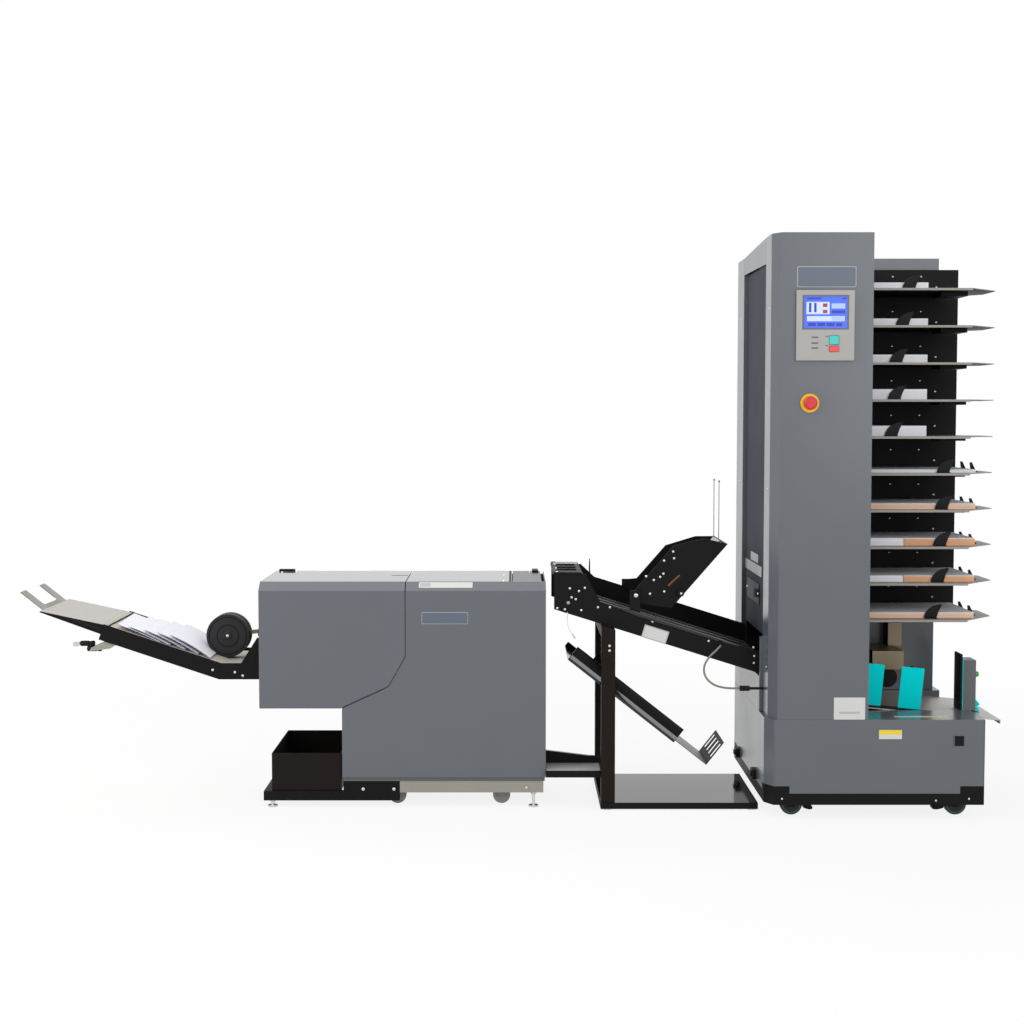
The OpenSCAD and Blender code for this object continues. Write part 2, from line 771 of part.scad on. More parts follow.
// Sliding end tray: guide bars inside the rails, a plate bent down a little, skirts and prongs
module delivery_extension() {
  tip = rail_l + extension_l;
  color("gainsboro") slope_frame() {
    both_sides() {
      block([rail_l - ext_root, -ext_side_y, ext_guide_w],
        [ext_skirt_u - seam, -ext_side_y + ext_bar_w, ext_plate_w - seam]);
      xz_plate([[ext_skirt_u, ext_low_w], [tip, ext_tip_w - 1], [tip, ext_tip_w + ext_t],
        [ext_skirt_u, ext_plate_w + ext_t]], -ext_side_y, ext_bar_w);
    }
    xz_plate([[ext_plate_u, ext_plate_w], [ext_skirt_u, ext_plate_w], [tip, ext_tip_w],
      [tip, ext_tip_w + ext_t], [ext_skirt_u, ext_plate_w + ext_t], [ext_plate_u, ext_plate_w + ext_t]],
      -ext_side_y + 1, 2 * ext_side_y - 2);
    for (s = [-1, 1]) translate([tip, s * prong_half_gap, ext_tip_w]) rotate([0, -prong_tilt, 0])
      block([-2, -prong_w / 2, 0], [prong_l, prong_w / 2, ext_t]);
  }
}

// Swinging arm between the press wheels with its pivot pin and axle
module press_arm() {
  reach = norm([press_x, press_z] - arm_pivot);
  drop = atan2(arm_pivot[1] - press_z, arm_pivot[0] - press_x);
  color("tan") {
    translate([arm_pivot[0], 0, arm_pivot[1]]) mirror([1, 0, 0]) rotate([0, drop, 0])
      block([-9, -arm_t / 2, -arm_w / 2], [reach + 9, arm_t / 2, arm_w / 2]);
    y_rod(arm_pivot[0], arm_pivot[1], arm_pin_r, -arm_y - arm_t - 9, arm_y + arm_t + 9);
    y_rod(press_x, press_z, axle_r, -press_w - 10, press_w + 10);
  }
}

module press_wheels() {
  color("black") difference() {
    union() {
      for (y = [6, -6 - press_w]) y_rod(press_x, press_z, press_r, y, y + press_w);
      both_sides() y_rod(press_x, press_z, 14, 4, press_w + 8);
    }
    y_rod(press_x, press_z, axle_r + run_gap, -press_w - 20, press_w + 20);
  }
}

// Bridge

post_x = maker_l + 188;
bridge_x0 = maker_l + 28;
bridge_x1 = tower_x0 + 13;
bridge_in_y = bridge_half_w - plate_t;
bridge_top = bridge_plate_h / cos(bridge_slope);
hopper_pivot = [post_x + 117, bridge_z + 96];
hopper_pin_r = 5;
bridge_roller_w = 36;
bridge_drive_u = -128;
bridge_tail_u = 548;
bridge_shaft_r = 6;

function bridge_low(x) = bridge_z - (x - post_x) * tan(bridge_slope);

// Frame of the bridge: +X down the slope towards the tower, Z square to the belts
module bridge_frame() { translate([post_x, 0, bridge_z]) rotate([0, bridge_slope, 0]) children(); }

// Side plate of the bridge, its main edge raised by rise
function bridge_side(rise) = let (
  top = bridge_top + rise, lug = 18, box_x = bridge_x0 + 108,
  edge = function (x) bridge_low(x) + top)
  [[bridge_x0, bridge_low(bridge_x0)], [bridge_x1, bridge_low(bridge_x1)], [bridge_x1, edge(bridge_x1)],
   [hopper_pivot[0] + lug, edge(hopper_pivot[0] + lug)], [hopper_pivot[0] + lug, hopper_pivot[1] + lug],
   [hopper_pivot[0] - lug, hopper_pivot[1] + lug], [hopper_pivot[0] - lug, edge(hopper_pivot[0] - lug)],
   [box_x + 50, edge(box_x + 50)], [box_x, bridge_inlet_z], [bridge_x0, bridge_inlet_z]];

// Side plates with the hopper's pins, floor, tail bar and the nip unit at the inlet end
module bridge_channel() {
  pin_in = hopper_half_w - plate_t;
  color("black") {
    difference() {
      union() {
        xz_plate(bridge_side(0), -bridge_half_w, plate_t);
        xz_plate(bridge_side(bridge_fence_h), bridge_in_y, plate_t);
        both_sides() y_rod(hopper_pivot[0], hopper_pivot[1], hopper_pin_r, pin_in, bridge_half_w - 1);
      }
      bridge_frame() y_rod(bridge_drive_u, bridge_roller_w, bridge_shaft_r + run_gap,
        -bridge_half_w - 1, bridge_half_w + 1);
    }
    bridge_frame() {
      block([-60, -bridge_in_y + seam, 4], [bridge_tail_u - 30, bridge_in_y - seam, 7]);
      y_rod(bridge_tail_u, bridge_roller_w, bridge_roller_r, -bridge_in_y + seam, bridge_in_y - seam);
    }
    xz_plate([[bridge_x0 - 4, bridge_inlet_z + seam], [bridge_x0 + 100, bridge_inlet_z + seam],
      [bridge_x0 + 92, bridge_inlet_z + 8], [bridge_x0, bridge_inlet_z + 9]],
      -bridge_half_w, 2 * bridge_half_w);
  }
}

bridge_belt_y = 45;
bridge_belt_w = 50;

module bridge_belts() {
  color("dimgray") bridge_frame() translate([bridge_drive_u, 0, bridge_roller_w])
    for (y = bridge_belt_y * [-3, -1, 1, 3])
      belt_loop(bridge_tail_u - bridge_drive_u, bridge_roller_r, y, bridge_belt_w);
}

module bridge_drive_roller() {
  color("silver") bridge_frame()
    roller(bridge_drive_u, bridge_roller_w, bridge_roller_r, bridge_in_y - 0.5, bridge_shaft_r,
      bridge_half_w - seam);
}

// Frame of the hopper: +X up its slope, Z square to its floor, origin on the pivot
module hopper_frame() {
  translate([hopper_pivot[0], 0, hopper_pivot[1]]) rotate([0, -hopper_tilt, 0]) children();
}

// Inclined tray for covers, hung on two pins, its rear side lower than the front one
module cover_hopper() {
  end = [[hopper_l, -hopper_depth], [50, -hopper_depth], [-14, -24]];
  front = concat([[-14, 12], [216, 12], [hopper_l - 38, -50]], end);
  rear = concat([[-14, 12], [14, 12], [40, -12], [200, -12], [hopper_l - 46, -72]], end);
  color("black") hopper_frame() {
    difference() {
      union() {
        xz_plate(front, -hopper_half_w, plate_t);
        xz_plate(rear, hopper_half_w - plate_t, plate_t);
      }
      y_rod(0, 0, hopper_pin_r + run_gap, -hopper_half_w - 1, hopper_half_w + 1);
    }
    block([50, -hopper_half_w + 1, -hopper_depth], [hopper_l, hopper_half_w - 1, -hopper_depth + cover_t]);
  }
}

wire_y = 70;

// Wire guides of the hopper on their sliding bar
module hopper_wires() {
  bar_z = -hopper_depth + cover_t + seam;
  color("silver") hopper_frame() {
    block([hopper_l - 22, -wire_y - 20, bar_z], [hopper_l - 6, wire_y + 20, bar_z + 12]);
    for (s = [-1, 1]) translate([hopper_l - 14, s * wire_y, bar_z + 6]) rotate([0, hopper_tilt, 0]) {
      cylinder(r = wire_r, h = wire_h, $fn = 24);
      translate([0, 0, wire_h]) sphere(r = 2.4 * wire_r, $fn = 24);
    }
  }
}

// Stand and reject tray

post_top_z = bridge_z - post_w * tan(bridge_slope) - seam;
post_head_h = 26;
reject_x = maker_l + 75;
reject_z = bridge_z - 125;
reject_y = [stand_front_y + 67, stand_rear_y - post_d - 8];
reject_pin_r = 7;
dock_z = [108, 132];
dock_y = [stand_front_y + 22, stand_front_y + 162];

// Frame of the reject tray: +X down its slope, Z square to its floor
module reject_frame() { translate([reject_x, 0, reject_z]) rotate([0, reject_slope, 0]) children(); }

// Height of the middle of the reject tray's sides at a place along the line
function reject_mid(x) = let (w = reject_h / 2)
  reject_z - (x - reject_x - w * sin(reject_slope)) * tan(reject_slope) + w * cos(reject_slope);

// Two posts, the slanted head that carries the bridge, and the pins that hold the reject tray
module stand_post() {
  rear_y = stand_rear_y - post_d;
  color("black") {
    for (y = [stand_front_y, rear_y])
      block([post_x, y, stand_base_z + seam], [post_x + post_w, y + post_d, post_top_z - post_head_h + 1]);
    xz_plate([[post_x, post_top_z - post_head_h], [post_x + post_w, post_top_z - post_head_h],
      [post_x + post_w, post_top_z], [post_x, bridge_z - seam]],
      stand_front_y, stand_rear_y - stand_front_y);
    for (x = [post_x + 12, post_x + post_w - 12]) {
      y_rod(x, reject_mid(x), reject_pin_r, stand_front_y + post_d - 1, reject_y[0] - seam);
      y_rod(x, reject_mid(x), reject_pin_r, reject_y[1] + seam, rear_y + 1);
    }
  }
}

// Floor plate of the stand and the docking shelf to the booklet maker
module stand_base() {
  low_z = stand_base_z - stand_base_t;
  color("dimgray") {
    block([post_x - 2, stand_front_y - 3, low_z], [tower_x0 - 7, stand_rear_y + 3, stand_base_z]);
    block([maker_l + seam, dock_y[0], dock_z[0]], [post_x - seam, dock_y[1], dock_z[1]]);
    xz_plate([[maker_l + seam, dock_z[1] - 1], [post_x - seam, dock_z[1] - 1],
      [post_x - seam, dock_z[1] + 22], [maker_l + seam, dock_z[1] + 45]], dock_y[1] - 16, 16);
  }
}

reject_rear_h = 21;
// Length of the rear wall that keeps its full height, where the rear post holds it
reject_lug = [for (x = [post_x - 8, post_x + post_w + 8])
  (x - reject_x - reject_h / 2 * sin(reject_slope)) / cos(reject_slope)];

module reject_tray() {
  color("black") reject_frame() difference() {
    block([0, reject_y[0], 0], [reject_l, reject_y[1], reject_h]);
    block([-1, reject_y[0] + cover_t, cover_t], [reject_l + 1, reject_y[1] - cover_t, reject_h + 1]);
    for (u = [[-1, reject_lug[0]], [reject_lug[1], reject_l + 1]])
      block([u[0], reject_y[1] - cover_t - 1, reject_rear_h], [u[1], reject_y[1] + 1, reject_h + 1]);
  }
}

comb_slots = 4;
slide_t = 2.5;
slide_inset = 55;
slide_hold = 136;
comb_foot = 30;
comb_head = 14;
slide_y = [reject_y[0] + slide_inset, reject_y[1] - slide_inset];

// Telescoping slide of the reject tray with its slotted end stop
module reject_slide() {
  start = reject_l - slide_hold;
  end = start + reject_slide_l;
  floor_z = cover_t + seam;
  pitch = (slide_y[1] - slide_y[0]) / comb_slots;
  color("silver") reject_frame() {
    block([start, slide_y[0], floor_z], [end, slide_y[1], floor_z + slide_t]);
    difference() {
      block([end - slide_t, slide_y[0], floor_z], [end, slide_y[1], floor_z + comb_h]);
      for (i = [0:comb_slots - 1]) let (y = slide_y[0] + (i + 0.5) * pitch)
        block([end - slide_t - 1, y - pitch / 4, floor_z + comb_foot],
          [end + 1, y + pitch / 4, floor_z + comb_h - comb_head]);
    }
  }
}

// Signal cable from the bridge to the tower

cable_r = 3.5;
gland_l = 9;
plug_l = 34;
plug_r = 9;
cable_start = [tower_x0 - 132, -bridge_half_w - gland_l, bridge_z - 67];
// Steps of the cable's route from the gland on the bridge to the plug at the tower
cable_steps = [
  [0, 0, 0], [0, -10, 0], [-3, -20, -4], [-11, -29, -11], [-23, -36, -21], [-37, -41, -33],
  [-49, -44, -47], [-58, -46, -62], [-62, -47, -78], [-61, -48, -94], [-55, -48, -109], [-44, -48, -122],
  [-29, -48, -133], [-11, -48, -140], [8, -48, -144], [30, -48, -146], [59, -48, -146]];
cable_route = [for (p = cable_steps) cable_start + p];

// Ring of points square to a direction
function ring(c, d, r, n) = let (
  t = d / norm(d), side = cross(t, abs(t[2]) > 0.9 ? [1, 0, 0] : [0, 0, 1]),
  u = side / norm(side), v = cross(t, u))
  [for (i = [0:n - 1]) let (a = 360 * i / n) c + r * (cos(a) * u + sin(a) * v)];

// Tube swept along a route of points
module tube(route, r, n) {
  last = len(route) - 1;
  points = [for (i = [0:last]) each ring(route[i], route[min(i + 1, last)] - route[max(i - 1, 0)], r, n)];
  sides = [for (i = [0:last - 1]) for (j = [0:n - 1]) let (k = (j + 1) % n) each [
    [i * n + j, i * n + k, (i + 1) * n + k], [i * n + j, (i + 1) * n + k, (i + 1) * n + j]]];
  caps = [[for (j = [n - 1:-1:0]) j], [for (j = [0:n - 1]) last * n + j]];
  polyhedron(points = points, faces = concat(sides, caps), convexity = 4);
}

module bridge_cable() { color("gray") tube(cable_route, cable_r, 8); }

// Gland on the bridge's side plate, and the plug with its stub at the tower
module cable_fittings() {
  first = cable_route[0];
  last = cable_route[len(cable_route) - 1];
  color("black") {
    y_rod(first[0], first[2], 7, first[1] + seam, -bridge_half_w - seam);
    x_rod(last[1], last[2], plug_r, last[0] + seam, last[0] + plug_l);
    x_rod(last[1], last[2], plug_r / 2, last[0] + plug_l - 1, tower_x0 + front_inset - seam);
  }
}

// Collator tower

cover_in_y = half_d - side_cover_d;
chassis_y = cover_in_y - plate_t - 4;
window_y = chassis_y - seam;
front_cover_x = tower_x0 + front_cover_l;
deck_x = front_cover_x + 8;
deck_z = base_top_z + 12;

// Plan of the base, from x0 to x1 and y0 to y1, its front left edge bevelled
function plan(x0, x1, y0, y1) = [
  [x0 + edge_l, y0], [x1, y0], [x1, y1], [x0, y1], [x0, y0 + edge_d]];

// Plan drawn in by t on every side
function inner_plan(x0, x1, y0, y1, t) = let (k = t * (norm([edge_l, edge_d]) - edge_l) / edge_d,
  m = t * (norm([edge_l, edge_d]) - edge_d) / edge_l)
  [[x0 + edge_l + k, y0 + t], [x1 - t, y0 + t], [x1 - t, y1 - t], [x0 + t, y1 - t],
   [x0 + t, y0 + edge_d + m]];

// Blocks over the four corners of the base
module corner_blocks(z0, z1) {
  for (x = [tower_x0 - 1, tower_x1 - corner_l]) for (y = [-half_d - 1, half_d - corner_l])
    block([x, y, z0], [x + corner_l + 1, y + corner_l + 1, z1]);
}

// Tube on the plan of the base, t thick
module base_wall(z0, z1, t) {
  translate([0, 0, z0]) linear_extrude(z1 - z0) difference() {
    polygon(plan(tower_x0, tower_x1, -half_d, half_d));
    polygon(inner_plan(tower_x0, tower_x1, -half_d, half_d, t));
  }
}

// Black plinth with its floor pan and raised corner pieces
module base_skirt() {
  color("black") {
    base_wall(skirt_z, skirt_top_z, 18);
    translate([0, 0, skirt_top_z - tower_pan_t]) linear_extrude(tower_pan_t)
      polygon(inner_plan(tower_x0, tower_x1, -half_d, half_d, 10));
    intersection() {
      base_wall(skirt_top_z - 1, skirt_top_z + corner_h, cover_t);
      corner_blocks(skirt_z, skirt_top_z + corner_h + 1);
    }
  }
}

rocker_x = tower_x1 - 86;
rocker_z = base_top_z - 71;
rocker_hole = [38, 40];
rocker_pin_r = 3;
rocker_tilt = 8;
deck_drop = 54;

// Strip of the base's top beside the deck, with its turned-down flange
module deck_strip(y_out) {
  x0 = front_cover_x - cover_t - 9;
  edge_y = -deck_half_w + cover_t;
  low_z = base_top_z - deck_drop;
  under_z = base_top_z - cover_t;
  yz_prism([[-y_out, under_z], [-deck_half_w, under_z], [-deck_half_w, low_z], [edge_y, low_z],
    [edge_y, base_top_z], [-y_out, base_top_z]], x0, tower_x1 - cover_t - seam - x0);
}

// Seams between the panels at the base's corners
module panel_seams() {
  z = [skirt_z, base_top_z + 1];
  in_x = tower_x0 + edge_l + cover_t;
  in_y = edge_d - half_d + cover_t;
  block([tower_x1 - cover_t - seam, -half_d - 1, z[0]], [tower_x1 - cover_t, half_d + 1, z[1]]);
  block([in_x, -half_d - 1, z[0]], [in_x + seam, 0, z[1]]);
  block([tower_x0 - 1, in_y, z[0]], [in_x - cover_t, in_y + seam, z[1]]);
  block([tower_x0 - 1, half_d - cover_t - seam, z[0]], [in_x, half_d - cover_t, z[1]]);
}

// Base walls, top strips beside the deck, the infill panel under the bridge and the switch box
module base_cabinet() {
  in_y = half_d - cover_t - seam;
  box = [rocker_hole[0] / 2 - seam, rocker_hole[1] / 2 - seam];
  color("slategray") {
    difference() {
      base_wall(skirt_top_z + seam, base_top_z, cover_t);
      corner_blocks(skirt_z, skirt_top_z + corner_h + seam);
      panel_seams();
      block([tower_x1 - 20, -deck_half_w, base_top_z - deck_drop],
        [tower_x1 + 1, deck_half_w, base_top_z + 1]);
      block([rocker_x - rocker_hole[0] / 2, front_y - 1, rocker_z - rocker_hole[1] / 2],
        [rocker_x + rocker_hole[0] / 2, front_y + 20, rocker_z + rocker_hole[1] / 2]);
    }
    deck_strip(in_y);
    mirror([0, 1, 0]) deck_strip(in_y);
    block([tower_x0, -cover_in_y + seam, base_top_z + seam],
      [tower_x0 + cover_t, cover_in_y - seam, base_top_z + 120]);
    difference() {
      block([rocker_x - box[0], front_y - 2, rocker_z - box[1]],
        [rocker_x + box[0], front_y + 30, rocker_z + box[1]]);
      block([rocker_x - box[0] + 3, front_y - 3, rocker_z - box[1] + 3],
        [rocker_x + box[0] - 3, front_y + 27, rocker_z + box[1] - 3]);
      x_rod(front_y + 8, rocker_z, rocker_pin_r + run_gap, rocker_x - box[0] - 1, rocker_x + box[0] + 1);
    }
  }
}

// Rocker of the power switch on its pivot, tipped to one side
module power_rocker() {
  half_x = rocker_hole[0] / 2 - seam - 4;
  half_z = rocker_hole[1] / 2 - seam - 5;
  color("black") translate([0, front_y + 8, rocker_z]) rotate([rocker_tilt, 0, 0]) {
    yz_prism([[8, -4], [8, 4], [0, half_z], [-9, half_z], [-7, 0], [-9, -half_z], [0, -half_z]],
      rocker_x - half_x, 2 * half_x);
    x_rod(0, 0, rocker_pin_r, rocker_x - half_x - 3.5, rocker_x + half_x + 3.5);
  }
}

front_left_x = tower_x0 + front_inset;

// Front cover: a folded shell, open towards the chassis
module front_cover() {
  z0 = base_top_z + seam;
  y1 = -cover_in_y;
  color("slategray") difference() {
    translate([0, 0, z0]) linear_extrude(tower_h - z0)
      polygon(plan(front_left_x, front_cover_x, -half_d, y1));
    translate([0, 0, z0 - 1]) linear_extrude(tower_h - z0 - cover_t + 1)
      polygon(inner_plan(front_left_x, front_cover_x, -half_d, y1 + 2 * cover_t, cover_t));
    y_rod(estop_x, estop_z, estop_stem_r + 1, front_y - 1, front_y + cover_t + 1);
  }
}

rear_top_z = tower_h - 28;
rear_cover_x = tower_x1 - 21;

module rear_cover() {
  z0 = base_top_z + seam;
  color("slategray") difference() {
    block([tower_x0, cover_in_y, z0], [rear_cover_x, half_d, rear_top_z]);
    block([tower_x0 + cover_t, cover_in_y + cover_t, z0 - 1],
      [rear_cover_x - cover_t, half_d - cover_t, rear_top_z - cover_t]);
  }
}

// Header box between the covers, open underneath
module tower_header() {
  z0 = tower_h - header_h;
  y = cover_in_y - seam;
  inner_x = front_cover_x - cover_t;
  inner_y = y - cover_t;
  color("lightgray") difference() {
    yz_prism([[-y, z0], [y, z0], [y, rear_top_z], [-y, tower_h]], tower_x0, front_cover_l);
    translate([0, 0, z0 - 1]) linear_extrude(header_h + 2)
      polygon([[tower_x0 - 1, -y - 1], [front_left_x, -y - 1], [front_left_x, -y], [tower_x0, y],
        [tower_x0 - 1, y]]);
    translate([0, 0, z0 - 1]) linear_extrude(rear_top_z - cover_t - z0 + 1)
      polygon([[front_left_x + cover_t, -inner_y], [inner_x, -inner_y], [inner_x, inner_y],
        [tower_x0 + cover_t, inner_y]]);
  }
}

chassis_x = tower_x0 + 18;
chassis_z = base_top_z + 3;
wing_x = tower_x1 + 48;
wing_z = [first_tray_z - 52, tower_h - 70];
belt_x = tower_x0 + 98;
belt_z = [base_top_z + 211, tower_h - header_h - 55];
belt_roll_r = 22;
transport_belt_y = 120;
transport_belt_w = 40;
tray_stay_x = tower_x1 - 85;
tray_stay_l = 93;
tray_stay_h = 14;
tray_stay_half_w = 60;

// Black side plates, tie bars and the upper belt bar
module chassis() {
  bar_y = chassis_y - seam;
  edge_x = front_cover_x + 1;
  front = [[chassis_x, chassis_z], [front_cover_x, chassis_z], [front_cover_x, header_z],
    [chassis_x, header_z]];
  rear = [[chassis_x, chassis_z], [front_cover_x, chassis_z], [front_cover_x, wing_z[0]],
    [wing_x, wing_z[0]], [wing_x, wing_z[1]], [edge_x, wing_z[1]], [edge_x, header_z],
    [chassis_x, header_z]];
  ties = [[tower_x0 + 60, chassis_z + 40], [front_cover_x - 30, chassis_z + 60],
    [belt_x + 60, header_z - 20]];
  color("black") {
    difference() {
      union() {
        xz_plate(front, -chassis_y - plate_t, plate_t);
        xz_plate(rear, chassis_y, plate_t);
      }
      y_rod(belt_x, belt_z[0], shaft_r + run_gap, -chassis_y - 10, chassis_y + 10);
    }
    for (p = ties) y_rod(p[0], p[1], 10, -bar_y, bar_y);
    y_rod(belt_x, belt_z[1], belt_roll_r, -bar_y, bar_y);
    for (i = [0:bin_count - 1]) let (z = tray_z(i) - tray_t - seam)
      block([tray_stay_x, -tray_stay_half_w, z - tray_stay_h],
        [tray_stay_x + tray_stay_l, tray_stay_half_w, z]);
  }
}

// Dark panel in the window on the bridge side, with its latch
module transport_panel() {
  x = front_left_x + 2;
  y = cover_in_y - seam;
  color("dimgray") {
    block([x, -y, base_top_z + 264], [x + plate_t, y, header_z - 2]);
    block([x - 14, -110, base_top_z + 380], [x + 1, -78, base_top_z + 408]);
  }
}

module transport_belts() {
  color("black") translate([belt_x, 0, belt_z[0]]) rotate([0, -90, 0])
    for (y = transport_belt_y * [-1, 0, 1])
      belt_loop(belt_z[1] - belt_z[0], belt_roll_r, y, transport_belt_w);
}

module transport_roller() {
  color("silver") roller(belt_x, belt_z[0], belt_roll_r, chassis_y - 0.5, shaft_r,
    chassis_y + plate_t - seam);
}

// Bins

tray_x = front_cover_x - 47;
tray_rear_x = wing_x - 82;
short_bins = 5;
// Stack heights as shares of the pitch, from the lowest bin up
stack_share = [0.2, 0.22, 0.25, 0.205, 0.135, 0.33, 0.33, 0.27, 0.25, 0.225];
stack_x = tray_x + 5;
long_stack_l = 454;
short_stack_l = 281;
// Places of the side fins along the stacks, from the lowest bin up
fin_x = [280, 302, 308, 312, 317, 136, 145, 149, 169, 190];
fin_foot_w = 20;
guide_t = 4;
paper_gap = 1;

function tray_z(i) = first_tray_z + i * tray_pitch;
function is_long(i) = i < bin_count - short_bins;
function stack_l(i) = is_long(i) ? long_stack_l : short_stack_l;
function stack_h(i) = stack_share[i] * tray_pitch;
function guide_x(i) = stack_x + fin_x[i];

// Plan of a tray: broad between the side plates, tapered at its free end
tray_plan = let (held = chassis_y - seam, taper_x = line_end_x - tray_taper) [
  [tray_x, -held], [front_cover_x + 12, -held], [front_cover_x + 12, -tray_half_w],
  [taper_x, -tray_half_w], [line_end_x, -tray_end_half_w], [line_end_x, tray_end_half_w],
  [taper_x, tray_half_w], [tray_rear_x, tray_half_w], [tray_rear_x, held], [tray_x, held]];

// Shark-fin outline of a guide that leans away from the cover, h high, standing at x on z
fin_steps = 7;
function fin(x, z, h) = concat([[x + 0.89 * h, z], [x + 1.06 * h, z + 0.5 * h]],
  [for (i = [fin_steps:-1:0]) let (t = i / fin_steps)
    [x + 1.31 * h * pow(t, 1.6), z + h * (1 - (1 - t) * (1 - t))]]);

// Ten trays with turned-down front lips, each with a fixed fin at the rear
module feed_trays() {
  color("lightgray") for (i = [0:bin_count - 1]) {
    translate([0, 0, tray_z(i) - tray_t]) linear_extrude(tray_t) polygon(tray_plan);
    block([front_cover_x + 12, -tray_half_w, tray_z(i) - tray_lip],
      [line_end_x - tray_taper, -tray_half_w + 2, tray_z(i) - 1]);
    xz_plate(fin(guide_x(i) - 30, tray_z(i) + seam, stack_h(i) + 8), paper_half_w + paper_gap, guide_t);
  }
}

feed_x = front_cover_x + 98;
feed_l = 112;
feed_z = base_top_z + 108;
feed_y = 10;
feed_h = 66;
feed_drum_r = 36;
feed_drum_drop = 30;
feed_bracket_w = 50;
feed_bracket_d = 70;
drum_gap = 2;

// Feed head over the deck, carried by the rear cover
module deck_feed_head() {
  y1 = cover_in_y - seam;
  top_z = feed_z + feed_h;
  x1 = feed_x + feed_l + feed_bracket_w / 2;
  block([feed_x, feed_y, feed_z], [feed_x + feed_l, y1, top_z]);
  block([x1 - feed_bracket_w, y1 - feed_bracket_d, top_z - 1], [x1, y1, wing_z[0] - drum_gap]);
  y_rod(feed_x + feed_l / 2, feed_z - feed_drum_drop, feed_drum_r, feed_y + 10, y1);
}

// Suction drums that pull the sheets off the stacks, and the deck's feed head
module suction_drums() {
  color("dimgray") {
    for (i = [0:bin_count - 1])
      y_rod(tray_x - drum_r - drum_gap, tray_z(i) + drum_r, drum_r, -chassis_y + seam, chassis_y - seam);
    deck_feed_head();
  }
}

// Front fins that set the stacks sideways
module bin_side_guides() {
  y = -paper_half_w - paper_gap - guide_t;
  color("black") for (i = [0:bin_count - 1]) {
    xz_plate(fin(guide_x(i), tray_z(i) + seam, guide_h), y, guide_t);
    block([guide_x(i) + 2, y - fin_foot_w, tray_z(i) + seam],
      [guide_x(i) + 0.86 * guide_h, y + 1, tray_z(i) + seam + 3]);
  }
}

prong_x = 24;
prong_y = 60;

// Pairs of prongs behind the stacks
module bin_end_guides() {
  h = 0.7 * guide_h;
  color("black") for (i = [0:bin_count - 1]) {
    x = stack_x + stack_l(i) + paper_gap;
    z = tray_z(i) + seam;
    block([x, -tray_end_half_w + 2, z], [x + prong_x, tray_end_half_w - 2, z + 4]);
    for (y = prong_y * [-1, 1])
      xz_plate([[x + 4, z], [x + prong_x, z], [x + 8, z + h], [x, z + h]], y - guide_t / 2, guide_t);
  }
}

// Shingled stream of booklets on the delivery belt, thickest near the press wheels
press_u = ((belt_top_w + press_r) * sin(delivery_slope) - level_l - press_x) / cos(delivery_slope);
stream_start = press_u + 70;
stream_end = rail_l - 30;
stream_steps = 7;
stream_low = 7;
stream_high = 38;
stream_half_w = 147;

// Paper stacks in the bins and the booklets on the delivery
module paper() {
  step = (stream_end - stream_start) / stream_steps;
  lift = belt_top_w + seam;
  fall = (stream_high - stream_low) / (stream_steps - 1);
  shingles = [for (i = [stream_steps - 1:-1:0])
    let (u = stream_start + i * step, h = lift + stream_high - i * fall)
    each [[u + step, h - stream_low + 1], [u, h]]];
  color("white") {
    for (i = [0:bin_count - 1])
      block([stack_x, -paper_half_w, tray_z(i) + seam],
        [stack_x + stack_l(i), paper_half_w, tray_z(i) + stack_h(i)]);
    slope_frame() xz_plate(concat([[stream_start - 48, lift], [stream_end, lift]], shingles,
      [[stream_start - 18, lift + 16], [stream_start - 42, lift + 2]]), -stream_half_w, 2 * stream_half_w);
  }
}

// Feed deck in the base

// Frame of the deck: +X down its slope, Z square to it
module deck_frame() { translate([deck_x, 0, deck_z]) rotate([0, deck_slope, 0]) children(); }

module deck_table() {
  half_w = deck_half_w - cover_t - seam;
  color("gainsboro") deck_frame() {
    block([0, -half_w, -tray_t], [deck_l, half_w, 0]);
    block([deck_l - 3, -half_w, -14], [deck_l, half_w, -1]);
  }
}

deck_guide_y = -deck_half_w + 18;
deck_guides_x = [-2, 136];

// Two side guides on their common slide
module deck_side_guides() {
  color("turquoise") deck_frame() {
    block([deck_guides_x[0], deck_guide_y - 4, seam],
      [deck_guides_x[1] + deck_guide_l, deck_guide_y + 18, 7]);
    for (x = deck_guides_x) block([x, deck_guide_y, 6], [x + deck_guide_l, deck_guide_y + 3, deck_guide_h]);
  }
}

stop_x = 380;
deck_stop_w = 46;
deck_stop_y = [-82, -2];
deck_foot_w = 74;
deck_foot_half_d = 30;
deck_foot_h = 26;
deck_knob_r = 12;
deck_knob_l = 70;

// Upright end stop of the deck with its foot and clamping knob
module deck_end_stop() {
  mid_y = (deck_stop_y[0] + deck_stop_y[1]) / 2;
  color("dimgray") deck_frame() {
    translate([stop_x, 0, seam]) rotate([0, -deck_slope, 0]) {
      block([0, deck_stop_y[0], 0], [deck_stop_w, deck_stop_y[1], deck_stop_h]);
      x_rod(mid_y, 0.62 * deck_stop_h, deck_knob_r, deck_stop_w - 1, deck_knob_l);
    }
    block([stop_x + 6, mid_y - deck_foot_half_d, seam],
      [stop_x + deck_foot_w, mid_y + deck_foot_half_d, deck_foot_h]);
  }
}

blower_x = tower_x0 + 190;
blower_z = skirt_top_z + 104;

// Suction blower on the base's floor pan
module suction_blower() {
  color("dimgray") {
    y_rod(blower_x, blower_z, 92, -70, 50);
    block([blower_x - 80, -60, skirt_top_z + seam], [blower_x + 80, 40, blower_z - 40]);
    block([blower_x + 20, -50, blower_z + 20], [blower_x + 92, 30, blower_z + 120]);
  }
}

// Controls on the front cover

panel_y = front_y - seam - panel_t;
screen_z = panel_z + panel_h / 2 - 17 - screen_h;
button_w = 30;
start_x = panel_x + 28;
start_z = panel_z - 48;
start_h = 28;
stop_z = panel_z - 77;
stop_h = 18;
pocket = 6;

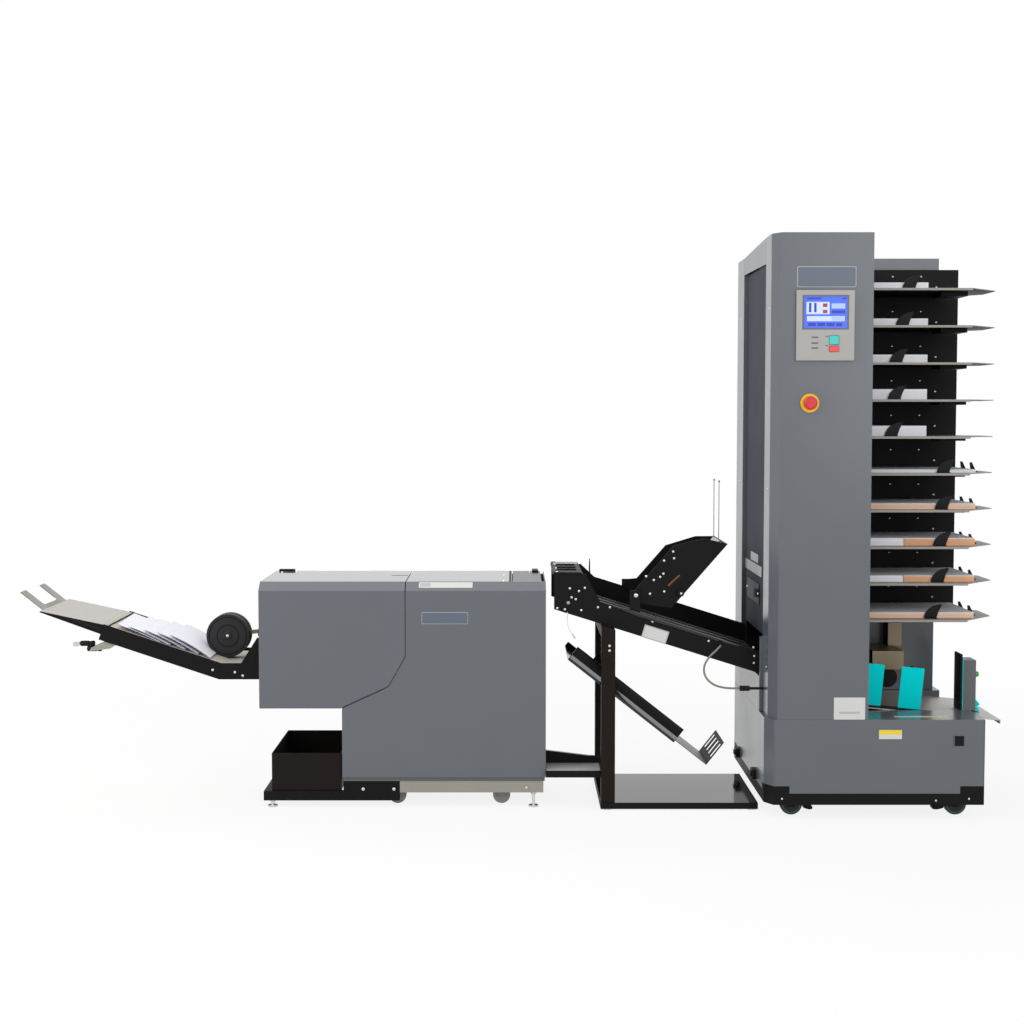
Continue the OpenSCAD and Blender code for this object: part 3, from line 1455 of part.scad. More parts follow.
// Opening in the bezel for a button, centred on x and z
module button_pocket(x, z, h) {
  block([x - button_w / 2 - seam, panel_y - 1, z - h / 2 - seam],
    [x + button_w / 2 + seam, panel_y + pocket, z + h / 2 + seam]);
}

module control_bezel() {
  color("lightgray") difference() {
    block([panel_x - panel_w / 2, panel_y, panel_z - panel_h / 2],
      [panel_x + panel_w / 2, front_y - seam, panel_z + panel_h / 2]);
    block([panel_x - screen_w / 2 - seam, panel_y - 1, screen_z - seam],
      [panel_x + screen_w / 2 + seam, panel_y + 5, screen_z + screen_h + seam]);
    button_pocket(start_x, start_z, start_h);
    button_pocket(start_x, stop_z, stop_h);
  }
}

module touch_screen() {
  color("royalblue") block([panel_x - screen_w / 2, panel_y + 2, screen_z],
    [panel_x + screen_w / 2, panel_y + 5 - seam, screen_z + screen_h]);
}

// Push button that stands out of its pocket by its travel and a little more
module button(x, z, h) {
  y0 = panel_y - button_travel - 1;
  block([x - button_w / 2, y0, z - h / 2],
    [x + button_w / 2, panel_y + pocket - button_travel - seam, z + h / 2]);
}

module start_button() { color("turquoise") button(start_x, start_z, start_h); }
module stop_button() { color("crimson") button(start_x, stop_z, stop_h); }

estop_stem_r = 11;
estop_out_y = front_y - seam - collar_t;

module estop_collar() {
  color("gold") difference() {
    y_rod(estop_x, estop_z, collar_r, estop_out_y, front_y - seam);
    y_rod(estop_x, estop_z, estop_stem_r + run_gap, estop_out_y - 1, front_y);
  }
}

// Mushroom head on its stem
module estop_button() {
  color("red") translate([estop_x, estop_front_y, estop_z]) rotate([-90, 0, 0]) {
    rotate_extrude() polygon(concat([[0, estop_head_t], [0, 0]],
      arc([estop_r - 8, 8], 8, -90, 0, 8), [[estop_r, estop_head_t]]));
    translate([0, 0, estop_head_t - 1]) cylinder(r = estop_stem_r, h = estop_travel + collar_t + 7);
  }
}

placed() left_hood();
placed() right_hood();
placed() maker_panels();
placed() maker_frame();
placed() stitch_heads();
placed() fold_knife();
placed() upper_fold_roller();
placed() lower_fold_roller();
placed() trim_blade();
placed() bin_rack();
placed() waste_bin();
placed() under_frame();
placed() levelling_feet();
placed() caster_forks();
placed() maker_wheels(0);  // maker_left_wheels
placed() maker_wheels(1);  // maker_right_wheels
placed() tower_wheels(0);  // tower_left_wheels
placed() tower_wheels(1);  // tower_right_wheels
placed() delivery_frame();
placed() delivery_belt();
placed() delivery_roller();
placed() delivery_extension();
placed() press_arm();
placed() press_wheels();
placed() bridge_channel();
placed() bridge_belts();
placed() bridge_drive_roller();
placed() cover_hopper();
placed() hopper_wires();
placed() stand_post();
placed() stand_base();
placed() reject_tray();
placed() reject_slide();
placed() bridge_cable();
placed() cable_fittings();
placed() base_skirt();
placed() base_cabinet();
placed() power_rocker();
placed() front_cover();
placed() rear_cover();
placed() tower_header();
placed() chassis();
placed() transport_panel();
placed() transport_belts();
placed() transport_roller();
placed() feed_trays();
placed() suction_drums();
placed() bin_side_guides();
placed() bin_end_guides();
placed() paper();
placed() deck_table();
placed() deck_side_guides();
placed() deck_end_stop();
placed() suction_blower();
placed() control_bezel();
placed() touch_screen();
placed() start_button();
placed() stop_button();
placed() estop_collar();
placed() estop_button();
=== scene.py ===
# Booklet-making line: collator tower, bridge conveyor and booklet maker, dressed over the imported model.
# Places are in millimetres along the line: X from the maker's left face, Y from the paper's centre, Z up.
import json
import math
import random
import bmesh
import bpy
from mathutils import Matrix, Vector

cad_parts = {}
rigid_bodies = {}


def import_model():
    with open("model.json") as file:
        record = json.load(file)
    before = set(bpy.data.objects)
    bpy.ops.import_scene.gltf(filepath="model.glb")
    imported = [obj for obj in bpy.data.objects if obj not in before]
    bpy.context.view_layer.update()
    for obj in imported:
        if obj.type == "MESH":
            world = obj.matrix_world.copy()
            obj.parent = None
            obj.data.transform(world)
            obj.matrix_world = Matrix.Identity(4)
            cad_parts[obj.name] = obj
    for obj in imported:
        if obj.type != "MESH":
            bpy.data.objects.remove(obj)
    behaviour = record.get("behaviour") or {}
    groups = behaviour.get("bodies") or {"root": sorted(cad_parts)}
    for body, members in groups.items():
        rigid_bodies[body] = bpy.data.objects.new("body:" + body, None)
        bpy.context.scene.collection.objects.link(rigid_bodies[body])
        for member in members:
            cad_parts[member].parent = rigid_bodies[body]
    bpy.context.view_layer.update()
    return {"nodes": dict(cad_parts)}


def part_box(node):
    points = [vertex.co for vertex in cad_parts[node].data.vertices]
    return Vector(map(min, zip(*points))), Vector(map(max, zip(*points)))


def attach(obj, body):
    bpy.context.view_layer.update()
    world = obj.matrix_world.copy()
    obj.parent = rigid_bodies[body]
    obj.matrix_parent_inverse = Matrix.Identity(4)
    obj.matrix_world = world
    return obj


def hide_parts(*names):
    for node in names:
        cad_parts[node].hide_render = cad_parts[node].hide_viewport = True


for thing in list(bpy.data.objects):
    bpy.data.objects.remove(thing)
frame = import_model()
nodes = frame["nodes"]
scene = bpy.context.scene
hoodHalfDeep = 0.220  # metres
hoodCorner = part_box("left_hood")[0]
lineX, lineY = hoodCorner.x, hoodCorner.y + hoodHalfDeep  # row place of the line's zero
print("frame loaded:", len(nodes), "nodes")


def at(x, y, z):  # line millimetres to row metres
    return Vector((x / 1000 + lineX, y / 1000 + lineY, z / 1000))


# Camera at the photograph's place, tilted down a little
viewpoint = {"place": (866, -5727, 1343.5), "focalPx": 1621.5, "imagePx": 1024, "sensorMm": 36, "tilt": 3.386}
camData = bpy.data.cameras.new("photoCamera")
camData.sensor_width = viewpoint["sensorMm"]
camData.lens = viewpoint["sensorMm"] * viewpoint["focalPx"] / viewpoint["imagePx"]
camData.clip_end = 100
camera = bpy.data.objects.new("photoCamera", camData)
scene.collection.objects.link(camera)
camera.location = at(*viewpoint["place"])
camera.rotation_euler = (math.radians(90 - viewpoint["tilt"]), 0, 0)
scene.camera = camera
print("camera placed")


def smoothLine(points, parts):  # evenly rounded line through the points
    line = []
    for i in range(len(points) - 1):
        a, b, c, d = points[max(i - 1, 0)], points[i], points[i + 1], points[min(i + 2, len(points) - 1)]
        bend, twist = 2 * a - 5 * b + 4 * c - d, 3 * b - a - 3 * c + d
        for k in range(parts):
            t = k / parts
            line.append(0.5 * (2 * b + (c - a) * t + bend * t ** 2 + twist * t ** 3))
    return line + [points[-1]]


# Signal cable from the gland on the bridge's near plate to its plug at the tower, on the route of its solid
cable = {"start": (1580, -214, 566), "diameterMm": 7, "pointRadius": 0.01, "route": [
    (0, 0, 0), (0, -10, 0), (-3, -20, -4), (-11, -29, -11), (-23, -36, -21), (-37, -41, -33), (-49, -44, -47),
    (-58, -46, -62), (-62, -47, -78), (-61, -48, -94), (-55, -48, -109), (-44, -48, -122), (-29, -48, -133),
    (-11, -48, -140), (8, -48, -144), (30, -48, -146), (59, -48, -146)]}
cableLine = smoothLine([at(*(a + b for a, b in zip(cable["start"], step))) for step in cable["route"]], 2)
cableData = bpy.data.curves.new("signal_cable", "CURVE")
cableData.dimensions = "3D"
cableData.bevel_depth = cable["diameterMm"] / 2000 / cable["pointRadius"]  # small point radius: a tight box
cableData.bevel_resolution = 5
cableSpline = cableData.splines.new("POLY")
cableSpline.points.add(len(cableLine) - 1)
for point, place in zip(cableSpline.points, cableLine):
    point.co = (*place, 1)
    point.radius = cable["pointRadius"]
cableSpline.use_smooth = True
signalCable = bpy.data.objects.new("signal_cable", cableData)
scene.collection.objects.link(signalCable)
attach(signalCable, "line_frame")
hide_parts("bridge_cable")


def linear(hexColour, alpha=1.0):  # sRGB hex to scene-linear
    parts = [int(hexColour[i:i + 2], 16) / 255 for i in (1, 3, 5)]
    return [p / 12.92 if p <= 0.04045 else ((p + 0.055) / 1.055) ** 2.4 for p in parts] + [alpha]


def addNode(tree, kind, values=None, links=None, **settings):  # one node: settings, constants and inputs
    node = tree.nodes.new(kind)
    for key, value in settings.items():
        setattr(node, key, value)
    for key, value in (values or {}).items():
        node.inputs[key].default_value = value
    for key, source in (links or {}).items():
        tree.links.new(source, node.inputs[key])
    return node


def newMaterial(name):
    material = bpy.data.materials.new(name)
    material.use_nodes = True
    tree = material.node_tree
    tree.nodes.clear()
    output = addNode(tree, "ShaderNodeOutputMaterial")
    return material, tree, output


# Every finish mixes soft clouds, 200 mm wide, with its own grain; the mix moves its tone and its roughness
surface = {"cloudMm": 200, "grainShare": 0.35, "mixFrom": 0.3, "mixTo": 0.7, "topFrom": 0.9, "topFull": 0.99}


def finish(name, tone, second, grainMm, rough, bump=0.0, bumpMm=0.1, stretch=(1, 1, 1), metal=0.0,
           specular=0.5, glow=0.0, topRough=None):
    # Solid finish with two close tones, a grain of real size, and roughness and bump from that grain
    material, tree, output = newMaterial(name)
    place = addNode(tree, "ShaderNodeTexCoord")
    scaled = addNode(tree, "ShaderNodeMapping", {"Scale": stretch}, {"Vector": place.outputs["Object"]})
    grain = addNode(tree, "ShaderNodeTexNoise", {"Scale": 1000 / grainMm, "Detail": 3.0, "Roughness": 0.55},
                    {"Vector": scaled.outputs["Vector"]})
    cloud = addNode(tree, "ShaderNodeTexNoise", {"Scale": 1000 / surface["cloudMm"], "Detail": 2.0},
                    {"Vector": place.outputs["Object"]})
    both = addNode(tree, "ShaderNodeMix", {"Factor": surface["grainShare"]},
                   {"A": cloud.outputs["Fac"], "B": grain.outputs["Fac"]})
    tones = addNode(tree, "ShaderNodeMix", {"A": linear(tone), "B": linear(second)},
                    {"Factor": both.outputs["Result"]}, data_type="RGBA")
    span = {"From Min": surface["mixFrom"], "From Max": surface["mixTo"],
            "To Min": rough[0], "To Max": rough[1]}
    gloss = addNode(tree, "ShaderNodeMapRange", span, {"Value": both.outputs["Result"]})
    if topRough:  # faces that look up are wiped clean and shine more
        slant = addNode(tree, "ShaderNodeSeparateXYZ", {}, {"Vector": place.outputs["Normal"]})
        span = {"From Min": surface["topFrom"], "From Max": surface["topFull"]}
        upward = addNode(tree, "ShaderNodeMapRange", span, {"Value": slant.outputs["Z"]})
        gloss = addNode(tree, "ShaderNodeMix", {"B": topRough},
                        {"A": gloss.outputs["Result"], "Factor": upward.outputs["Result"]})
    shader = addNode(tree, "ShaderNodeBsdfPrincipled",
                     {"Metallic": metal, "Specular IOR Level": specular, "Emission Strength": glow},
                     {"Base Color": tones.outputs[2], "Roughness": gloss.outputs["Result"]})
    if glow:
        tree.links.new(tones.outputs[2], shader.inputs["Emission Color"])
    if bump:
        relief = addNode(tree, "ShaderNodeBump", {"Strength": bump, "Distance": bumpMm / 1000},
                         {"Height": grain.outputs["Fac"]})
        tree.links.new(relief.outputs["Normal"], shader.inputs["Normal"])
    tree.links.new(shader.outputs["BSDF"], output.inputs["Surface"])
    return material


# Paints: polyester powder coat, sprayed and baked on sheet steel: an even skin with wide, soft highlights.
# Its orange peel of about 1.5 mm is drawn at 3 mm to show.
greyPowderCoat = finish("grey_powder_coat_baked", "#5b5f65", "#60646a", 3, (0.2, 0.26), 0.05, 0.05)
panelPowderCoat = finish("mid_grey_powder_coat_baked", "#55575a", "#5e6063", 3, (0.36, 0.46), 0.12, 0.05)
# The hoods are wiped by hand, so their tops mirror the pale room more than their fronts
hoodPowderCoat = finish("grey_powder_coat_baked_wiped_top", "#5b5f65", "#60646a", 3, (0.2, 0.26), 0.05, 0.05,
                        topRough=0.08)
# Dark paints with a finer peel: they drink the light and show only a dull edge
darkPowderCoat = finish("dark_violet_grey_powder_coat_baked", "#32343d", "#393b44", 3, (0.62, 0.75), 0.1,
                        0.05, specular=0.12)
blackPowderCoat = finish("black_powder_coat_satin", "#0c0c0d", "#121113", 2.5, (0.45, 0.58), 0.2, 0.06,
                         specular=0.12)
brownBlackPowderCoat = finish("warm_black_powder_coat_satin", "#130f0d", "#1a1512", 2.5, (0.42, 0.55), 0.2,
                              0.06, specular=0.12)
# Full gloss black: mirrors the pale room clearly
blackGloss = finish("black_powder_coat_gloss", "#101012", "#161618", 2.5, (0.06, 0.1), 0.02, 0.03)
# Light paints: a quiet, dull skin with no clear mirror image
creamPowderCoat = finish("cream_powder_coat_baked", "#8e8c82", "#99978d", 3, (0.4, 0.5), 0.1, 0.05)
sandPowderCoat = finish("sand_powder_coat_baked", "#a6a39b", "#b0ada5", 3, (0.4, 0.5), 0.1, 0.05)
pearlPowderCoat = finish("light_grey_powder_coat_baked", "#a3a4a4", "#adaeae", 3, (0.36, 0.46), 0.12, 0.05)
trayPowderCoat = finish("warm_grey_powder_coat_tray", "#8b867f", "#97928b", 3, (0.42, 0.52), 0.12, 0.05)
tealPowderCoat = finish("teal_powder_coat_gloss", "#00dadd", "#00e2e5", 3, (0.45, 0.55), 0.08, 0.04,
                        specular=0.04)
# Paint rubbed by passing sheets: the peel is gone, only wide clouds of wear are left
prongPaint = finish("warm_grey_powder_coat_worn_smooth", "#827e77", "#8f8b83", 9, (0.42, 0.55))

# Metals: plated, ground, polished, anodised, chromated and drawn; their lines pull the highlights out.
# Brush lines of 0.2 mm are drawn at 1 mm or more to show.
zincPlate = finish("zinc_plated_steel_tumbled", "#c4c4c0", "#d6d6d2", 2, (0.26, 0.42), 0.1, 0.03, metal=1.0)
brushedSteel = finish("ground_steel_brushed", "#8f9092", "#a6a7a8", 1.0, (0.28, 0.45), 0.1, 0.02,
                      (1, 0.07, 1), metal=1.0)
polishedSteel = finish("cold_rolled_steel_polished", "#7f8082", "#8d8e90", 1.2, (0.14, 0.24), 0.05, 0.02,
                       (1, 0.1, 1), metal=1.0)
satinAluminium = finish("anodised_aluminium_satin", "#a5a3a0", "#b0aeab", 1.5, (0.4, 0.5), 0.0, 0.02,
                        (0.1, 1, 1), metal=0.85)
bronzePlate = finish("chromated_steel_tan", "#80725c", "#8f806a", 1.6, (0.34, 0.5), 0.1, 0.02, (1, 0.12, 1),
                     metal=0.6)
copperBar = finish("copper_bar_drawn", "#7d4a2e", "#90583a", 1.2, (0.28, 0.4), 0.08, 0.02, (1, 0.1, 1),
                   metal=1.0)

# Plastics: moulded, with the fine spark-eroded grain of the mould, which blurs every highlight.
# That grain of about 0.5 mm is drawn at 1.2 mm to show.
blackMoulding = finish("black_abs_moulded", "#0e0e0f", "#151516", 1.2, (0.45, 0.55), 0.25, 0.05,
                       specular=0.15)
bezelMoulding = finish("warm_grey_abs_moulded", "#a09e9b", "#a7a5a2", 1.2, (0.4, 0.5), 0.2, 0.04)
tealKey = finish("teal_abs_key_moulded", "#35bdb6", "#42c7c0", 1.2, (0.28, 0.38), 0.1, 0.03)
redKey = finish("red_abs_key_moulded", "#e2424c", "#ea4d56", 1.2, (0.28, 0.38), 0.1, 0.03)
redHead = finish("red_polyamide_head_moulded", "#c4202a", "#d02a31", 1.2, (0.25, 0.35), 0.08, 0.03)
yellowCollar = finish("yellow_polyamide_collar_moulded", "#eeb310", "#f2bb1c", 1.2, (0.28, 0.38), 0.08, 0.03)
greenKnob = finish("green_abs_knob_moulded", "#2fa84a", "#38b354", 1.2, (0.3, 0.4), 0.1, 0.03)
# Tyres, rollers and belting: moulded, ground or calendered, soft to the eye, with almost no mirror image
greyRubber = finish("grey_polyurethane_tyre_moulded", "#8b8b88", "#979794", 2, (0.5, 0.65), 0.15, 0.06)
blackRubber = finish("black_nitrile_rubber_ground", "#18171a", "#222124", 1.5, (0.5, 0.7), 0.35, 0.08,
                     specular=0.35)
greenTyre = finish("green_polyurethane_tyre_moulded", "#1d4d45", "#255a50", 2, (0.45, 0.6), 0.15, 0.06)
belting = finish("cream_pvc_belting_calendered", "#b9b3a6", "#c6c0b4", 1.4, (0.5, 0.66), 0.3, 0.06)
blackBelting = finish("black_rubber_belting_calendered", "#1b1b1d", "#252527", 1.4, (0.45, 0.6), 0.3, 0.06)
# Extruded sheaths: smooth and waxy, with one long highlight
cableSheath = finish("grey_pvc_sheath_extruded", "#7b726b", "#877e77", 3, (0.4, 0.5), 0.1, 0.05)
whiteSheath = finish("white_pvc_sheath_extruded", "#cacac7", "#d2d2cf", 6, (0.35, 0.45), 0.04, 0.02)
# Cast label films and a printed plate: flat, clean and a little shinier than the paint around them
whiteLabel = finish("white_polyester_label_film", "#cacac7", "#d2d2cf", 6, (0.35, 0.45), 0.04, 0.02)
greyLabel = finish("grey_polyester_label_film", "#a9a9ab", "#b3b3b4", 6, (0.35, 0.45), 0.04, 0.02)
yellowLabel = finish("yellow_polyester_label_film", "#e6c61e", "#edcf2a", 6, (0.35, 0.45), 0.04, 0.02)
slatePlate = finish("slate_printed_polycarbonate_plate", "#56606e", "#5c6674", 4, (0.3, 0.4), 0.04, 0.02)


def stock(name, tone, second, rough=(0.7, 0.85)):
    # Cut paper: matt, with fine level lines. Sheets of 0.1 mm are drawn as 1.2 mm layers to show.
    return finish(name, tone, second, 1.2, rough, 0.5, 0.1, (0.02, 0.02, 1), specular=0.2)


whiteStock = stock("white_uncoated_paper_cut", "#ecedf5", "#f4f5fa")
coolStock = stock("cool_white_coated_paper_cut", "#dde9ee", "#e8f1f4", (0.6, 0.75))
peachStock = stock("peach_uncoated_paper_cut", "#efc8ac", "#f5d3bb")
orangeStock = stock("orange_uncoated_paper_cut", "#e5ac83", "#ecb994")
# Lavender-grey stock for the booklets' lower leaves: painted shade, darker than the white top leaf where
# shade falls between the leaves
leafShadeStock = stock("lavender_paper_painted_leaf_shade", "#b9b5c8", "#c6c2d3")

# Lit display film behind glass: even coloured light. Its cells of 0.3 mm are drawn at 1 mm to show.
screenBlue = finish("blue_lcd_film_lit", "#2c4fe0", "#3a5fea", 1, (0.2, 0.28), glow=0.45)
screenPale = finish("pale_lcd_film_lit", "#b0bfe9", "#bccbee", 1, (0.2, 0.28), glow=0.3)
screenDeep = finish("deep_blue_lcd_film_lit", "#161f8e", "#1e2a9e", 1, (0.2, 0.28), glow=0.3)
screenRed = finish("red_brown_lcd_film_lit", "#83232c", "#902c34", 1, (0.2, 0.28), glow=0.3)
screenGrey = finish("grey_lcd_film_lit", "#8fa3c9", "#9bafd2", 1, (0.2, 0.28), glow=0.4)
print("materials made:", len(bpy.data.materials))


def addFold(thing, widthMm, angle):  # small fold radius along the sharp edges
    edge = thing.modifiers.new("fold", "BEVEL")
    edge.width = widthMm / 1000
    edge.segments = 2
    edge.limit_method = "ANGLE"
    edge.angle_limit = math.radians(angle)
    edge.harden_normals = True


def softenEdges(thing, widthMm):  # weld the imported corners, merge flat facets, then fold the edges
    weld = thing.modifiers.new("weld", "WELD")
    weld.merge_threshold = 0.00002
    flat = thing.modifiers.new("flat", "DECIMATE")
    flat.decimate_type = "DISSOLVE"
    flat.angle_limit = math.radians(0.6)
    flat.delimit = {"MATERIAL"}
    if widthMm:
        addFold(thing, widthMm, 24)
    even = thing.modifiers.new("even", "WEIGHTED_NORMAL")  # keeps large flat faces free of shading streaks
    even.keep_sharp = True


def dress(name, material, foldMm, others=()):  # others: a material, and its test of a face
    thing = nodes[name]
    thing.data.materials.clear()
    for paint in [material] + [other[0] for other in others]:
        thing.data.materials.append(paint)
    for poly in thing.data.polygons:
        poly.use_smooth = True
        x, y, z = poly.center
        middle = Vector(((x - lineX) * 1000, (y - lineY) * 1000, z * 1000))
        poly.material_index = 0
        for slot, (paint, test) in enumerate(others, 1):
            if test(middle, poly.normal):
                poly.material_index = slot
    softenEdges(thing, foldMm)


# Finish, fold radius in mm and names of the solids that are shown as they are built
plainSolids = (
    (hoodPowderCoat, 1.4, "left_hood", "right_hood"), (greyPowderCoat, 1.4, "front_cover", "rear_cover"),
    (greyPowderCoat, 1.2, "tower_header"), (greyPowderCoat, 0.9, "base_cabinet"),
    (panelPowderCoat, 0.8, "maker_panels"), (panelPowderCoat, 2, "suction_blower"),
    (darkPowderCoat, 0.8, "transport_panel"), (creamPowderCoat, 1.2, "under_frame"),
    (blackPowderCoat, 0.8, "delivery_frame", "bridge_channel", "cover_hopper", "base_skirt"),
    (blackPowderCoat, 1.2, "bin_rack"), (blackPowderCoat, 0.6, "chassis"), (blackGloss, 0.8, "reject_tray"),
    (brownBlackPowderCoat, 0.6, "waste_bin"), (brownBlackPowderCoat, 1.5, "stand_post"),
    (brushedSteel, 0.6, "maker_frame", "bridge_drive_roller", "transport_roller"),
    (brushedSteel, 1, "stitch_heads"), (brushedSteel, 0.2, "hopper_wires"), (bronzePlate, 0.5, "press_arm"),
    (polishedSteel, 0.4, "fold_knife"), (polishedSteel, 0.5, "trim_blade"),
    (zincPlate, 0.8, "levelling_feet"), (satinAluminium, 0.6, "deck_table"),
    (blackRubber, 0.8, "upper_fold_roller", "lower_fold_roller"),
    (blackRubber, 4, "press_wheels"), (blackRubber, 2, "tower_left_wheels", "tower_right_wheels"),
    (greyRubber, 2, "maker_left_wheels", "maker_right_wheels"), (belting, 0.4, "delivery_belt"),
    (blackBelting, 0.4, "bridge_belts", "transport_belts"), (blackMoulding, 0.6, "cable_fittings"),
    (blackMoulding, 0.8, "power_rocker", "bin_side_guides", "bin_end_guides"),
    (bezelMoulding, 3, "control_bezel"), (slatePlate, 0.2, "touch_screen"), (tealKey, 1.2, "start_button"),
    (redKey, 1.2, "stop_button"), (yellowCollar, 1.5, "estop_collar"), (redHead, 1, "estop_button"))
for material, foldMm, *names in plainSolids:
    for name in names:
        dress(name, material, foldMm)

# Where a solid changes its finish: limits for a face's middle p, in line mm, used with the face's normal n
parting = {"makerEndX": 1000, "railSideY": 188, "skirtY": 180, "prongRootX": -745, "prongX": -762,
           "prongHalfY": 150, "trayRearY": 146, "feedHeadX": (2150, 2240), "feedHeadZ": (441, 509),
           "drumCapX": 2237, "drumCapZ": 640, "slide": (1057, 508, 38.2), "combMm": 9,
           "guides": (2060, 346, 5.4), "footMm": 9}


def onProng(p, n):
    nearEnd = p.x < parting["prongRootX"] and abs(p.y) < parting["prongHalfY"]
    return nearEnd and (p.x < parting["prongX"] or abs(n.y) > 0.9)


def onComb(p, n):  # what stands above the reject slide's sheet
    x, z, slope = parting["slide"]
    turn = math.radians(slope)
    return (p.x - x) * math.sin(turn) + (p.z - z) * math.cos(turn) > parting["combMm"]


def onFeedHead(p, n):
    (left, right), (low, high) = parting["feedHeadX"], parting["feedHeadZ"]
    return left < p.x < right and low < p.z < high


def onGuideFoot(p, n):
    x, z, slope = parting["guides"]
    return p.z - z + (p.x - x) * math.tan(math.radians(slope)) < parting["footMm"]


mixedSolids = {
    "caster_forks": (blackPowderCoat, 0.6, [(trayPowderCoat, lambda p, n: p.x < parting["makerEndX"])]),
    "delivery_roller": (brushedSteel, 0.6, [(blackPowderCoat, lambda p, n: abs(p.y) > parting["railSideY"])]),
    "delivery_extension": (sandPowderCoat, 0, [
        (blackPowderCoat, lambda p, n: abs(p.y) > parting["skirtY"] and abs(n.z) < 0.9),
        (prongPaint, onProng)]),
    "stand_base": (blackPowderCoat, 0.8, [(blackGloss, lambda p, n: n.z > 0.98)]),
    "reject_slide": (pearlPowderCoat, 0, [(blackPowderCoat, onComb)]),
    "feed_trays": (trayPowderCoat, 0.5, [
        (blackPowderCoat, lambda p, n: n.z < -0.9 or p.y > parting["trayRearY"])]),
    "suction_drums": (blackMoulding, 0.8, [
        (bronzePlate, onFeedHead),
        (bronzePlate, lambda p, n: p.x >= parting["drumCapX"] and p.z < parting["drumCapZ"])]),
    "deck_side_guides": (tealPowderCoat, 0.6, [(blackMoulding, onGuideFoot)])}
for name, values in mixedSolids.items():
    dress(name, *values)
signalCable.data.materials.append(cableSheath)
print("solids dressed")

# Studio in metres: pale floor that turns white away from the object, white surroundings, and soft lamps
studio = {"surround": 0.38, "floor": "#f2f2f0", "floorZ": -0.0005, "floorReach": 30, "nearWhite": 0.86,
          "nearM": 1.7, "farM": 4.0, "lamps": {  # watts, place, target and size
              "key_softbox": (78, (-2.2, -4.6, 4.2), (0.1, 0, 0.8), (5.0, 4.0)),
              "fill_softbox": (100, (3.6, -4.4, 2.6), (0.4, 0, 0.8), (4.4, 3.6)),
              "back_softbox": (75, (0.0, 3.4, 4.6), (0.2, 0, 0.9), (6.0, 2.4)),
              "left_softbox": (130, (-4.4, -1.6, 2.8), (0.8, 0, 1.0), (3.6, 3.4)),
              "top_softbox": (40, (0.0, 0.0, 4.4), (0.0, 0, 0), (5.0, 3.0))}}


def seenRays(tree):  # 1 for rays from the camera, off a mirror or through glass
    ray = addNode(tree, "ShaderNodeLightPath")
    seen = addNode(tree, "ShaderNodeMath", None,
                   {0: ray.outputs["Is Camera Ray"], 1: ray.outputs["Is Glossy Ray"]}, operation="MAXIMUM")
    both = {0: seen.outputs[0], 1: ray.outputs["Is Transmission Ray"]}
    return addNode(tree, "ShaderNodeMath", None, both, operation="MAXIMUM").outputs[0]


world = bpy.data.worlds.new("studio_surround")
scene.world = world
world.use_nodes = True
sky = world.node_tree
sky.nodes.clear()
level = addNode(sky, "ShaderNodeMapRange", {"To Min": studio["surround"], "To Max": 1.0},
                {"Value": seenRays(sky)})
glow = addNode(sky, "ShaderNodeBackground", {"Color": (1, 1, 1, 1)}, {"Strength": level.outputs["Result"]})
addNode(sky, "ShaderNodeOutputWorld", None, {"Surface": glow.outputs["Background"]})

floorMaterial, tree, output = newMaterial("white_studio_floor_sealed")  # matt: shadows stay soft on it
paleMatt = addNode(tree, "ShaderNodeBsdfDiffuse", {"Color": linear(studio["floor"])})
whiteGlow = addNode(tree, "ShaderNodeEmission", {"Color": (1, 1, 1, 1), "Strength": 1.0})
spot = addNode(tree, "ShaderNodeTexCoord")
far = addNode(tree, "ShaderNodeVectorMath", None, {0: spot.outputs["Object"]}, operation="LENGTH")
fade = addNode(tree, "ShaderNodeMapRange",
               {"From Min": studio["nearM"], "From Max": studio["farM"], "To Min": studio["nearWhite"]},
               {"Value": far.outputs["Value"]})
share = addNode(tree, "ShaderNodeMath", None, {0: seenRays(tree), 1: fade.outputs["Result"]},
                operation="MULTIPLY")
blend = addNode(tree, "ShaderNodeMixShader", None,
                {0: share.outputs[0], 1: paleMatt.outputs[0], 2: whiteGlow.outputs[0]})
tree.links.new(blend.outputs[0], output.inputs["Surface"])
floorMesh = bpy.data.meshes.new("studio_floor")
floorMesh.from_pydata([(x * studio["floorReach"], y * studio["floorReach"], studio["floorZ"])
                       for x, y in ((-1, -1), (1, -1), (1, 1), (-1, 1))], [], [(0, 1, 2, 3)])
floor = bpy.data.objects.new("studio_floor", floorMesh)
floor.data.materials.append(floorMaterial)
scene.collection.objects.link(floor)
for name, (watts, place, target, size) in studio["lamps"].items():
    data = bpy.data.lights.new(name, "AREA")
    data.energy = watts
    data.shape = "RECTANGLE"
    data.size, data.size_y = size
    lamp = bpy.data.objects.new(name, data)
    scene.collection.objects.link(lamp)
    lamp.location = place
    lamp.visible_camera = False
    lamp.rotation_euler = (Vector(target) - Vector(place)).to_track_quat("-Z", "Y").to_euler()
scene.view_settings.view_transform = "Standard"
print("studio lit")


def facing(origin, out, up):  # local x to the right, y up along the face, z out of it, all in millimetres
    out = Vector(out).normalized()
    right = Vector(up).cross(out).normalized()
    turn = Matrix((right, out.cross(right), out)).transposed().to_4x4()
    return Matrix.Translation(origin) @ turn @ Matrix.Scale(0.001, 4)


sides = {"front": ((0, -1, 0), (0, 0, 1)), "top": ((0, 0, 1), (0, 1, 0)), "left": ((-1, 0, 0), (0, 0, 1)),
         "right": ((1, 0, 0), (0, 0, 1)), "rear": ((0, 1, 0), (0, 0, 1))}
bothFaces = (("front", -1), ("rear", 1))


def onSide(x, y, z, side):
    return facing(at(x, y, z), *sides[side])


def onFace(side, plane, a, b):  # a place from the plane of a face and two measures along it
    return onSide(*{"front": (a, plane, b), "top": (a, b, plane), "left": (plane, a, b)}[side], side)


